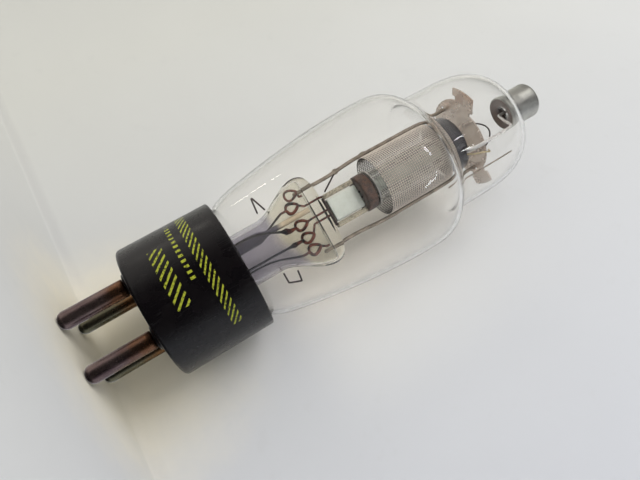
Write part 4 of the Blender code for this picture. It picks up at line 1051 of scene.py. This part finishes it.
class TUBE_OT_leads(Operator):
    """The leads from the pins up the stem, each with its loop, and the looped tail of the left rod"""
    bl_idname = "tube.leads"
    bl_label = "Leads"

    def execute(self, context):
        rail = BLOCK_HALF_WIDTH + GAP + RAIL_WIDTH - LEAD_RADIUS
        beside_rod = ROD_FOOT - ROD_RADIUS - LEAD_RADIUS - GAP
        heater_foot = BLOCK_BOTTOM + 0.0030
        # Each lead's pin, the middle of its loop along X, and its end's place along X and Z
        routes = {
            "cathode_lead": ("small_pin_2", -0.0050, -rail, BLOCK_BOTTOM - GAP),
            "heater_lead_1": ("large_pin_1", -0.0006, -0.0007, heater_foot - GAP),
            "heater_lead_2": ("large_pin_2", 0.0026, 0.0007, heater_foot - GAP),
            "anode_lead": ("small_pin_1", 0.0056, beside_rod, PRESS_UNDERSIDE - GAP - LEAD_RADIUS),
        }
        beads = {"heater_lead_1": 2.4, "heater_lead_2": 1.6}
        for name, (pin, loop_x, end_x, end_z) in routes.items():
            angle = PINS[pin][1]
            loop = loop_line(loop_x)
            knots = np.array([
                on_circle(PIN_CIRCLE, angle, 0.0043),
                on_circle(PIN_CIRCLE, angle, BASE_BOTTOM + 0.0052),
                on_circle(0.0047, angle, NECK_BOTTOM + 0.0025),
                on_circle(0.0042, angle, BASE_RIM + 0.0055),
                loop[0] - (0.0, 0.0, 0.0016),
            ])
            end = np.array([[end_x, 0.0, PRESS_UNDERSIDE - 0.0008], [end_x, 0.0, PRESS_UNDERSIDE - GAP],
                            [end_x, 0.0, max(end_z, PRESS_UNDERSIDE - 0.0002)]])
            rise = smooth_line(knots, 8)
            line = np.vstack([rise, loop, end])
            bead = beads.get(name, 0.0) * np.exp(-((line[:, 2] - BASE_RIM - 0.0126) / 0.0008) ** 2)
            bead[len(rise):] = 0.0
            thick = 0.00026 + 0.00009 * np.exp(-((line[:, 2] - PRESS_UNDERSIDE + 0.0036) / 0.0018) ** 4)
            piece("wire_" + name, *tube(line, thick * (1 + bead), 10), "copper", [name])
        tail = np.vstack([loop_line(-0.00775, 0.0024, start=1 / 6),
                          [[-beside_rod, 0.0, PRESS_UNDERSIDE - 0.0008],
                           [-beside_rod, 0.0, PRESS_UNDERSIDE - GAP]]])
        piece("wire_rod_tail", *tube(tail, 0.00030, 10), "copper", ["rod_tail_wire"])
        return {"FINISHED"}


class TUBE_OT_rods(Operator):
    """The two anode rods with their welds, the tie wire, and the bent wires beside the stem"""
    bl_idname = "tube.rods"
    bl_label = "Rods and Hooks"

    def execute(self, context):
        lattice_half_depth, clearance, turned = 0.00020, 0.00005, 6
        circle = context.scene.tube_electrodes.gauze_radius + lattice_half_depth + ROD_RADIUS + clearance
        weld = STEM_TOP + 0.0068
        bend = STEM_TOP + 0.0030
        for name, side in (("anode_rod_1", -1), ("anode_rod_2", 1)):
            foot = np.array([side * ROD_FOOT, 0.0, 0.0])
            head = on_circle(circle, turned if side > 0 else 180 - turned, 0.0)
            z = np.concatenate([np.linspace(PRESS_UNDERSIDE - 0.0016, bend, 6),
                                np.linspace(bend + 0.0004, ANODE_BOTTOM, 30),
                                np.linspace(ANODE_BOTTOM + 0.0006, top_of(name), 24)])
            line = foot + (head - foot) * smooth_step((z - bend) / (ANODE_BOTTOM - bend))[:, None]
            line[:, 2] = z
            lumps = [weld, ANODE_BOTTOM + 0.0016] if side < 0 else [ANODE_BOTTOM + 0.0012]
            swell = 1 + sum(0.75 * np.exp(-((z - lump) / 0.00045) ** 2) for lump in lumps)
            piece("side_" + name, *tube(line, ROD_RADIUS * np.minimum(swell, 1.62), 16), "dull", [name])
        start = np.array([-0.0076, 0.0, weld])
        end = np.array([-BLOCK_HALF_WIDTH - RAIL_WIDTH - 2 * GAP - 0.0002, 0.0, BLOCK_BOTTOM + 0.0012])
        tie = smooth_line([start, (start + end) / 2, end], 6)
        piece("side_tie_wire", *tube(tie, 0.0002, 8), "dark", ["tie_wire"])
        foot = BASE_RIM + 0.0075
        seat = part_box("stem_hook_1")[1].x - 0.0002
        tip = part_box("stem_hook_1")[0].x + 0.0003
        hook = [(seat, 0.0, foot + 0.0034), (tip + 0.0003, -0.0005, foot + 0.0022),
                (tip, -0.0006, foot + 0.0020), (tip + 0.0004, -0.0007, foot + 0.0018),
                (seat, -0.0012, foot + 0.0014)]
        piece("hook_left", *tube(smooth_line(hook, 6), 0.00020, 8), "dark", ["stem_hook_1"])
        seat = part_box("stem_hook_2")[0].x + 0.0002
        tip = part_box("stem_hook_2")[1].x - 0.0002
        hook = [(seat, 0.0, foot), (tip - 0.0014, 0.0, foot), (tip - 0.0010, 0.0, foot + 0.0002),
                (tip - 0.0001, 0.0, foot + 0.0025), (tip - 0.0003, 0.0, foot + 0.0028),
                (tip - 0.0024, 0.0, foot + 0.0031)]
        piece("hook_right", *tube(smooth_line(hook, 6), 0.00020, 8), "dark", ["stem_hook_2"])
        return {"FINISHED"}


# Column, anode and grid

class TUBE_OT_column(Operator):
    """The white block, the dark band and the rails beside it, the brown bush and its bright ring"""
    bl_idname = "tube.column"
    bl_label = "Ceramic Column"

    def execute(self, context):
        block = rounded_bar(BLOCK_HALF_WIDTH, BLOCK_HALF_DEPTH, BLOCK_BOTTOM, BLOCK_TOP, 0.0005, 0.00035)
        piece("white_block", *block, "ceramic", ["ceramic_block"])
        low, high = bottom_of("lower_band"), top_of("lower_band")
        band = rounded_bar(0.0035, BLOCK_HALF_DEPTH, low, high, 0.0003, 0.00015)
        piece("dark_band", *band, "dark", ["lower_band"])
        near, half, sheet = BLOCK_HALF_WIDTH + GAP, 0.0013, 0.0003
        far = near + RAIL_WIDTH
        channel = np.array([(near, -half), (far, -half), (far, sheet - half), (near + sheet, sheet - half),
                            (near + sheet, half - sheet), (far, half - sheet), (far, half), (near, half)])
        z = np.linspace(BLOCK_TOP, BLOCK_BOTTOM, 12)[:, None]
        for name, side in (("side_rail_1", -1), ("side_rail_2", 1)):
            outline = channel if side > 0 else channel[::-1] * (-1, 1)
            sections = stacked(outline[:, 0], outline[:, 1], z)
            piece("metal_" + name, *loft(sections), "rail", [name], smooth=False)
        bush = bored_ring("lower_bush", 0.0045, (0.00035, 5), (0.00035, 5), 96)
        piece("brown_bush", *bush, "bush", ["lower_bush"])
        washer = bored_ring("bush_washer", 0.0048, (0.00018, 4), (0.00018, 4), 96)
        piece("bright_ring", *washer, "nickel", ["bush_washer"])
        return {"FINISHED"}


WIRE_CORNERS = TURN * np.arange(4) / 4


def weave_uprights(radius, wire, bottom, top, hoops, uprights):
    """The straight wires, each of four corners: r = radius + wire cos(phase) as it passes the hoops."""
    k = np.arange(uprights)[:, None]
    z = np.linspace(bottom, top, 2 * hoops + 1)[None, :, None]
    phase = np.pi * (np.arange(2 * hoops + 1)[None, :] / 2 + k)
    r = (radius + wire * np.cos(phase))[..., None] + wire * np.cos(WIRE_CORNERS)
    a = (TURN * k / uprights)[..., None] + wire * np.sin(WIRE_CORNERS) / radius
    points = stacked(r * np.cos(a), r * np.sin(a), z)
    rows = points.shape[1]
    last = (rows - 1) * 4
    one = [grid_faces(rows, 4)[:, ::-1], np.array([[3, 2, 1, 0]]), last + np.array([[0, 1, 2, 3]])]
    offset = (np.arange(uprights) * rows * 4)[:, None, None]
    return points, [(p[None] + offset).reshape(-1, p.shape[1]) for p in one]


def weave_hoops(radius, wire, bottom, top, hoops, uprights):
    """The hoops, each of four corners: r = radius - wire cos(phase), on the other side of each upright."""
    h = np.arange(hoops + 1)[:, None]
    m = np.arange(2 * uprights)[None, :]
    phase = np.pi * (m / 2 + h)
    r = (radius - wire * np.cos(phase))[..., None] + wire * np.cos(WIRE_CORNERS)
    a = (TURN * m / (2 * uprights))[..., None]
    height = (bottom + (top - bottom) * h / hoops)[..., None] + wire * np.sin(WIRE_CORNERS)
    points = stacked(r * np.cos(a), r * np.sin(a), height)
    around = points.shape[1]
    offset = (np.arange(hoops + 1) * around * 4)[:, None, None]
    return points, [(grid_faces(around, 4, close_rows=True)[None] + offset).reshape(-1, 4)]


class TUBE_OT_anode(Operator):
    """Plain weave of straight wires and hoops, which pass over and under each other in turn"""
    bl_idname = "tube.anode"
    bl_label = "Woven Anode"

    def execute(self, context):
        electrodes = context.scene.tube_electrodes
        radius, wire = electrodes.gauze_radius, electrodes.gauze_wire
        bottom, top = ANODE_BOTTOM + wire * 2, ANODE_TOP - wire * 2
        hoops = int(round((top - bottom) / electrodes.gauze_pitch))
        uprights = 2 * int(round(TURN * radius / electrodes.gauze_pitch / 2))
        sizes = (radius, wire, bottom, top, hoops, uprights)
        weave = join([weave_uprights(*sizes), weave_hoops(*sizes)])
        piece("woven_gauze", *weave, "gauze", ["anode_mesh"])
        return {"FINISHED"}


class TUBE_OT_grid(Operator):
    """Coated cathode sleeve, hairpin heater, grid rods and the fine winding round them"""
    bl_idname = "tube.grid"
    bl_label = "Grid and Cathode"

    def execute(self, context):
        inner, outer, leg, rod_x = 0.0013, 0.0016, 0.0007, 0.0033
        low, high = bottom_of("cathode_sleeve"), top_of("cathode_sleeve")
        profile = np.vstack([[(inner, high), (outer, high)], straight(outer, high - 0.001, low + 0.001, 10),
                             [(outer, low), (inner, low)]])
        piece("coated_sleeve", *lathe(profile, 48, closed=True), "ceramic", ["cathode_sleeve"])
        foot, head = bottom_of("heater_hairpin"), top_of("heater_hairpin") - 0.0009
        bend = np.radians(np.linspace(0, 180, 14))
        crown = stacked(leg * np.cos(bend), 0.0, head + leg * np.sin(bend))
        line = np.vstack([[[leg, 0.0, foot]], crown, [[-leg, 0.0, foot]]])
        piece("wire_heater", *tube(line, 0.0002, 8), "dark", ["heater_hairpin"])
        for name, side in (("grid_rod_1", -1), ("grid_rod_2", 1)):
            ends = [[side * rod_x, 0.0, bottom_of(name)], [side * rod_x, 0.0, top_of(name)]]
            piece("bar_" + name, *tube(ends, 0.00035, 16), "nickel", [name])
        low, high = bottom_of("grid_winding") + 0.0002, top_of("grid_winding") - 0.0002
        turns = (high - low) / context.scene.tube_electrodes.winding_pitch
        t = np.linspace(0.0, 1.0, int(turns * 28))
        a = TURN * turns * t
        line = 0.00407 * stacked(np.cos(a), np.sin(a), 0.0)
        line[:, 2] = low + (high - low) * t
        piece("fine_winding", *tube(line, 0.00007, 6, across=(0.0, 0.0, 1.0)), "nickel", ["grid_winding"])
        return {"FINISHED"}


def outside_rim(degrees):
    """Just outside the spacer's rim, which widens from 8.0 to 9.2 mm between its last tab and its first."""
    return 0.0080 + 0.0012 * (degrees - 246.5) / 101.0 + GAP + 0.0002


class TUBE_OT_spacer(Operator):
    """Glazed bush, mica spacer and the wires above it"""
    bl_idname = "tube.spacer"
    bl_label = "Spacer and Top Wires"

    def execute(self, context):
        bush = bored_ring("upper_bush", UPPER_BUSH_RADIUS, (0.0009, 8), (0.0003, 4), 128)
        piece("glazed_bush", *bush, "glaze", ["upper_bush"])
        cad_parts["mica_spacer"].data.materials.clear()
        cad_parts["mica_spacer"].data.materials.append(FINISHES["mica"][0]())
        t = np.linspace(0.0, 1.0, 26)
        loop = stacked(-0.0018 + 0.0070 * t, -0.0038, MICA_TOP + GAP + 0.0048 * np.sin(np.pi * t) ** 0.6)
        piece("wire_getter_loop", *tube(loop, 0.00018, 8), "dark", ["getter_loop"])
        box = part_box("stay_wire")
        x, y = (box[0].x + box[1].x) / 2, (box[0].y + box[1].y) / 2
        piece("wire_stay", *tube([[x, y, box[0].z], [x, y, box[1].z]], 0.00018, 8), "dull", ["stay_wire"])
        return {"FINISHED"}


class TUBE_OT_top_wires(Operator):
    """The strap, and the bright lead with its thin strand, from the glazed bush past the spacer's rim"""
    bl_idname = "tube.top_wires"
    bl_label = "Strap and Grid Lead"

    def execute(self, context):
        low, high = bottom_of("upper_bush"), top_of("upper_bush")
        beside = UPPER_BUSH_RADIUS + GAP
        strap = smooth_line([
            on_circle(beside + 0.0002, 305, low + 0.0023),
            on_circle(outside_rim(308) - 0.0007, 306, high + 0.0001),
            on_circle(outside_rim(308), 308, MICA_BOTTOM - 0.0006),
            on_circle(outside_rim(312), 312, MICA_TOP + 0.0004),
            on_circle(outside_rim(312) - 0.0011, 315, MICA_TOP + 0.0011)], 8)
        piece("wire_strap", *tube(strap, 0.00020, 10), "brass", ["bush_strap"])
        seal = BULB_TOP - 0.0010
        lead = smooth_line([
            on_circle(beside + 0.0004, 294, low + 0.0022),
            on_circle(outside_rim(293) - 0.0006, 295, high + 0.0003),
            on_circle(outside_rim(293) + 0.0003, 293, MICA_BOTTOM - 0.0007),
            on_circle(outside_rim(293) + 0.0003, 293.5, MICA_TOP + 0.0007),
            np.array([0.0038, -0.0057, seal - 0.0055]),
            np.array([0.0036, -0.0042, seal - 0.0015]),
            np.array([0.0017, -0.0018, seal - 0.0008]),
            np.array([0.0, 0.0, seal - 0.0003])], 10)
        lead = np.vstack([lead, [[0.0, 0.0, CAP_TOP - 0.0012]]])
        flattened = 1 + 0.45 * np.exp(-((lead[:, 2] - MICA_TOP - 0.0013) / 0.0008) ** 2)
        below_spacer, past_spacer = lead[22], lead[28]
        strand = smooth_line([
            on_circle(beside + 0.0002, 301, low + 0.0024),
            on_circle(outside_rim(296) - 0.0009, 299, high + 0.0001),
            below_spacer + (0.0003, 0.0, 0.0), past_spacer], 6)
        wires = join([tube(lead, 0.00036 * flattened, 14), tube(strand, 0.00020, 10)])
        piece("wire_grid_lead", *wires, "lead", ["grid_lead"])
        return {"FINISHED"}


class TUBE_OT_cap(Operator):
    """Drawn metal cap with a rounded edge and a thin skirt, and the cement inside it"""
    bl_idname = "tube.cap"
    bl_label = "Top Cap"

    def execute(self, context):
        cap = context.scene.tube_cap
        wall, edge, hem = 0.0004, cap.edge_round, 0.0002
        profile = np.vstack([
            [(0.0, CAP_TOP), (0.0030, CAP_TOP)],
            arc(cap.radius - edge, CAP_TOP - edge, edge, 90, 0, 10),
            straight(cap.radius, CAP_TOP - 0.0012, CAP_BOTTOM + hem, 10),
            arc(cap.radius - hem, CAP_BOTTOM + hem, hem, 0, -180, 6),
            [(cap.radius - wall, CAP_BOTTOM + 0.0006)],
            arc(cap.radius - edge, CAP_TOP - edge, edge - wall, 0, 90, 6),
            [(0.0, CAP_TOP - wall)]])
        piece("metal_cap", *lathe(profile, 96), "cap", ["top_cap"])
        high = top_of("cap_cement")
        r = np.linspace(cap.radius - wall - 0.00005, 0.0023, 9)
        under = np.stack([r, BASE_RIM + dome_height(r) + 0.00012], -1)
        ring = np.vstack([[(0.0020, high), (r[0], high)], under, [(0.0020, BULB_TOP + 0.0006)]])
        piece("cap_filling", *lathe(ring, 64, closed=True), "cement", ["cap_cement"])
        return {"FINISHED"}


# Stage

CAMERA_PLACE = (0.0, -0.11868217, 0.02903243)
CAMERA_RIGHT = (0.49503, -0.20682, 0.84390)
CAMERA_DOWN = (0.86809, 0.07650, -0.49047)
CAMERA_FORWARD = (0.03688, 0.97538, 0.21740)
CAMERA_LENS = 29.734
BACKDROP_NORMAL = Vector((-0.487, -0.870, 0.073)).normalized()
BACKDROP_POINT = Vector((0.0095, 0.0170, 0.0770)) * 1.02

# Name, direction from the tube, distance, width, height, turn in degrees, share of the key's power, tone
LAMPS = [
    ("Key", (-0.42, -0.62, 0.66), 0.60, 0.44, 0.44, 0.0, 1.0, (1.0, 0.985, 0.96)),
    ("Glint", (-0.0743, -0.799, 0.597), 0.1263, 0.021, 0.0065, 20.0, 0.0050, (1.0, 0.96, 1.0)),
    ("Window", (0.42, -0.77, 0.48), 0.60, 0.010, 0.15, 45.0, 0.06, (0.97, 0.98, 1.0)),
    ("Side", (-0.976, 0.082, -0.146), 0.50, 0.005, 0.185, -43.0, 0.030, (1.0, 0.95, 0.85)),
    ("Back", (0.55, 0.80, 0.50), 0.60, 0.40, 0.40, 0.0, 0.35, (0.95, 0.97, 1.0)),
]
TOWARDS_KEY = Vector(LAMPS[0][1]).normalized()
LIGHTS_THE_TABLE = ("Key", "Back")
BLACK = (0.0, 0.0, 0.0)


def fill_table(tree, shader):
    """Pale table: barely darker soft patches, a very fine grain, a painted tint of the light that is warmer
    towards -X and cooler towards +X, and paler, yellower painted light by the pins, where their shadow falls.

    The cove between floor and backdrop, which faces the key, has painted shade that makes it a little darker,
    to look alike. Beside the bulb, where its shadow would be too dark, painted light makes the table paler in
    a wide patch and in a narrower one.
    """
    pale = tuple(settings().tube_stage.table)
    where = here(tree)
    x, _, level = split(tree, where)
    soft = noise(tree, where, 9.0, 3.0, 0.5)
    fine = noise(tree, where, 160.0, 4.0, 0.6)
    # Painted tint of the light: the table is warmer towards -X and cooler towards +X.
    tone = blend(tree, between(tree, x, -0.08, 0.08), times(pale, (1.0, 1.0, 0.965)),
                 times(pale, (0.975, 1.0, 1.09)))
    body = blend(tree, maths(tree, "MULTIPLY", between(tree, soft, 0.65, 0.35), 0.05), tone, BLACK)
    specks = maths(tree, "MULTIPLY", between(tree, fine, 0.62, 0.72), 0.10)
    body = blend(tree, specks, body, times(pale, 0.8))
    # Painted shade: the cove, which faces the key, is darkened a little so that it looks like the floor and
    # backdrop beside it.
    facing_key = dot(tree, node(tree, "ShaderNodeNewGeometry").outputs["Normal"], TOWARDS_KEY)
    body = blend(tree, between(tree, facing_key, 0.80, 1.0, 0.0, 0.16), body, BLACK)
    # Painted light: by the pins, where their shadow falls, the table is made paler and yellower.
    away = maths(tree, "MULTIPLY_ADD", fine, 0.010, distance(tree, where, (0.004, 0.010, 0.004)))
    painted_light_by_pins = between(tree, away, 0.012, 0.045, 0.85, 0.0, smooth=True)
    body = blend(tree, painted_light_by_pins, body, times(pale, (1.36, 1.26, 1.02)))
    # Painted light: beside the bulb, where its shadow would be too dark, the table is paler in a wide patch
    # and in a narrower one.
    beside = off_axis(tree, where)
    along = maths(tree, "MULTIPLY", between(tree, level, 0.035, 0.055, smooth=True),
                  between(tree, level, 0.125, 0.070, smooth=True))
    wide = maths(tree, "MULTIPLY", between(tree, beside, 0.050, 0.020, smooth=True), along)
    body = blend(tree, wide, body, times(pale, 1.17))
    painted_light_close = maths(tree, "MULTIPLY", between(tree, beside, 0.027, 0.017, smooth=True), along)
    feed(tree, shader, {
        "Base Color": blend(tree, painted_light_close, body, times(pale, (1.56, 1.50, 1.40))),
        "Roughness": 0.7,
        "Specular IOR Level": 0.2})


def table_material():
    """The pale table, which can't be seen from behind, and whose floor isn't mirrored in the tube."""
    material, tree, shader = new_finish("Pale Table")
    fill_table(tree, shader)
    behind = node(tree, "ShaderNodeNewGeometry").outputs["Backfacing"]
    path = node(tree, "ShaderNodeLightPath").outputs
    seen = maths(tree, "MAXIMUM", path["Is Camera Ray"], path["Is Transmission Ray"])
    on_floor = maths(tree, "LESS_THAN", split(tree, here(tree))[2], 0.001)
    mirrored = maths(tree, "MULTIPLY", path["Is Glossy Ray"], on_floor)
    gone = maths(tree, "MAXIMUM", maths(tree, "MULTIPLY", behind, seen), mirrored)
    clear = node(tree, "ShaderNodeBsdfTransparent")
    mixed = node(tree, "ShaderNodeMixShader", {0: gone, 1: shader.outputs[0], 2: clear.outputs[0]})
    feed(tree, tree.nodes["Material Output"], {"Surface": mixed.outputs[0]})
    arrange(tree)
    return material


def backdrop_surface():
    """Floor and backdrop as one sheet: flat at z = 0, then a cove up to the leaning plane.

    The cove's line is corner + bend ((1 - s)^2 outward + s^2 upward), with s from 0 to 1.
    """
    across = Vector((0, 0, 1)).cross(BACKDROP_NORMAL).normalized()
    up = BACKDROP_NORMAL.cross(across).normalized()
    out = Vector((BACKDROP_NORMAL.x, BACKDROP_NORMAL.y, 0.0)).normalized()
    corner = np.array(BACKDROP_POINT - up * (BACKDROP_POINT.z / up.z))
    outward, upward, bend = np.array(out), np.array(up), 0.0030
    floor = [corner + outward * d for d in (1.1, 0.6, 0.3, 0.12, 0.05, 0.02)]
    shares = np.linspace(0.0, 1.0, 14)
    cove = [corner + outward * bend * (1 - s) ** 2 + upward * bend * s ** 2 for s in shares]
    wall = [corner + upward * d for d in (0.02, 0.05, 0.1, 0.2, 0.4, 0.9)]
    line = np.array(floor + cove + wall)
    width = np.linspace(-1.0, 1.0, 21)
    points = line[:, None, :] + width[None, :, None] * np.array(across)
    return points, grid_faces(len(line), len(width), close_columns=False)[:, ::-1]


def lay_table(scene):
    points, faces = backdrop_surface()
    mesh = bpy.data.meshes.new("pale_floor")
    mesh.from_pydata(points.reshape(-1, 3).tolist(), [], faces.tolist())
    mesh.polygons.foreach_set("use_smooth", np.full(len(mesh.polygons), True))
    floor = bpy.data.objects.new("pale_floor", mesh)
    scene.collection.objects.link(floor)
    mesh.materials.append(table_material())


def surround(scene):
    """Plain surroundings, which mirrors find dark in front, above and below, with a glow by the key."""
    stage = scene.tube_stage
    surroundings = bpy.data.worlds.new("Surroundings")
    surroundings.use_nodes = True
    tree = surroundings.node_tree
    path = node(tree, "ShaderNodeLightPath").outputs
    direction = node(tree, "ShaderNodeTexCoord").outputs["Generated"]
    x, y, z = split(tree, direction)
    room = between(tree, maths(tree, "MULTIPLY", y, -1.0), 0.35, 0.85, 1.0, stage.dark, smooth=True)
    ends = between(tree, maths(tree, "ABSOLUTE", z), 0.45, 0.85, 1.0, stage.dark, smooth=True)
    glow = between(tree, dot(tree, direction, TOWARDS_KEY), 0.90, 0.985, 0.0, stage.glow, smooth=True)
    mirrored = maths(tree, "MULTIPLY_ADD", maths(tree, "MULTIPLY", room, ends), stage.fill, glow)
    through = maths(tree, "MULTIPLY", ends, stage.beyond)
    level = between(tree, path["Is Glossy Ray"], 0.0, 1.0, stage.fill, mirrored)
    level = between(tree, path["Is Transmission Ray"], 0.0, 1.0, level, through)
    level = between(tree, path["Is Camera Ray"], 0.0, 1.0, level, stage.beyond)
    tone = blend(tree, between(tree, x, -0.9, 0.9), (1.0, 0.97, 0.91), (0.90, 0.95, 1.0))
    feed(tree, tree.nodes["Background"], {"Strength": level, "Color": tone})
    arrange(tree)
    scene.world = surroundings


def hang_lamps(scene):
    """Soft lamps round the tube's middle: two light the table and the rest are only mirrored."""
    middle = Vector((0.0, 0.0, 0.062))
    for name, direction, away, size_x, size_y, turn, power, tone in LAMPS:
        lamp = bpy.data.lights.new(name, "AREA")
        lamp.shape = "RECTANGLE"
        lamp.size, lamp.size_y = size_x, size_y
        lamp.energy = power * scene.tube_stage.key
        lamp.color = tone
        holder = bpy.data.objects.new(name, lamp)
        holder.visible_glossy = name not in LIGHTS_THE_TABLE
        holder.visible_diffuse = name in LIGHTS_THE_TABLE
        holder.visible_transmission = False
        holder.visible_camera = False
        scene.collection.objects.link(holder)
        outward = Vector(direction).normalized()
        facing = outward.to_track_quat("Z", "Y").to_matrix().to_4x4()
        turned = Matrix.Rotation(np.radians(turn), 4, "Z")
        holder.matrix_world = Matrix.Translation(middle + outward * away) @ facing @ turned


def place_camera(scene):
    """The photograph's camera, with its right, down and forward directions in the tube's frame."""
    lens = bpy.data.cameras.new("Camera")
    lens.lens = CAMERA_LENS
    lens.sensor_width = 36.0
    lens.clip_start = 0.005
    camera = bpy.data.objects.new("Camera", lens)
    scene.collection.objects.link(camera)
    right, up, back = Vector(CAMERA_RIGHT), -Vector(CAMERA_DOWN), -Vector(CAMERA_FORWARD)
    turned = Matrix((right, up, back)).transposed().to_4x4()
    turned.translation = CAMERA_PLACE
    camera.matrix_world = turned
    scene.camera = camera


class TUBE_OT_stage(Operator):
    """Pale floor and backdrop, soft lamps, plain surroundings and the camera of the photograph"""
    bl_idname = "tube.stage"
    bl_label = "Stage"

    def execute(self, context):
        lay_table(context.scene)
        surround(context.scene)
        hang_lamps(context.scene)
        place_camera(context.scene)
        context.scene.view_settings.view_transform = "Standard"
        return {"FINISHED"}


# Panel and run

GROUPS = [("tube_glass", GlassSettings), ("tube_base", BaseSettings),
          ("tube_electrodes", ElectrodeSettings), ("tube_cap", CapSettings), ("tube_stage", StageSettings)]
OPERATORS = [TUBE_OT_base, TUBE_OT_pins, TUBE_OT_bulb, TUBE_OT_stem, TUBE_OT_leads, TUBE_OT_rods,
             TUBE_OT_column, TUBE_OT_anode, TUBE_OT_grid, TUBE_OT_spacer, TUBE_OT_top_wires, TUBE_OT_cap,
             TUBE_OT_stage]


class TUBE_PT_panel(Panel):
    """Sizes, colours and builders of the vacuum tube"""
    bl_idname = "TUBE_PT_panel"
    bl_label = "Vacuum Tube"
    bl_space_type = "VIEW_3D"
    bl_region_type = "UI"
    bl_category = "Vacuum Tube"

    def draw(self, context):
        for name, kind in GROUPS:
            box = self.layout.box()
            for key in kind.__annotations__:
                box.prop(getattr(context.scene, name), key)
        for operator in OPERATORS:
            self.layout.operator(operator.bl_idname)


def register():
    for kind in [g for _, g in GROUPS] + OPERATORS + [TUBE_PT_panel]:
        bpy.utils.register_class(kind)
    for name, kind in GROUPS:
        setattr(bpy.types.Scene, name, PointerProperty(type=kind))


def unregister():
    for name, _ in GROUPS:
        delattr(bpy.types.Scene, name)
    for kind in [TUBE_PT_panel] + OPERATORS[::-1] + [g for _, g in GROUPS[::-1]]:
        bpy.utils.unregister_class(kind)


def main():
    register()
    for operator in OPERATORS:
        area, call = operator.bl_idname.split(".")
        getattr(getattr(bpy.ops, area), call)()
    bpy.context.view_layer.update()


if __name__ == "__main__":
    main()
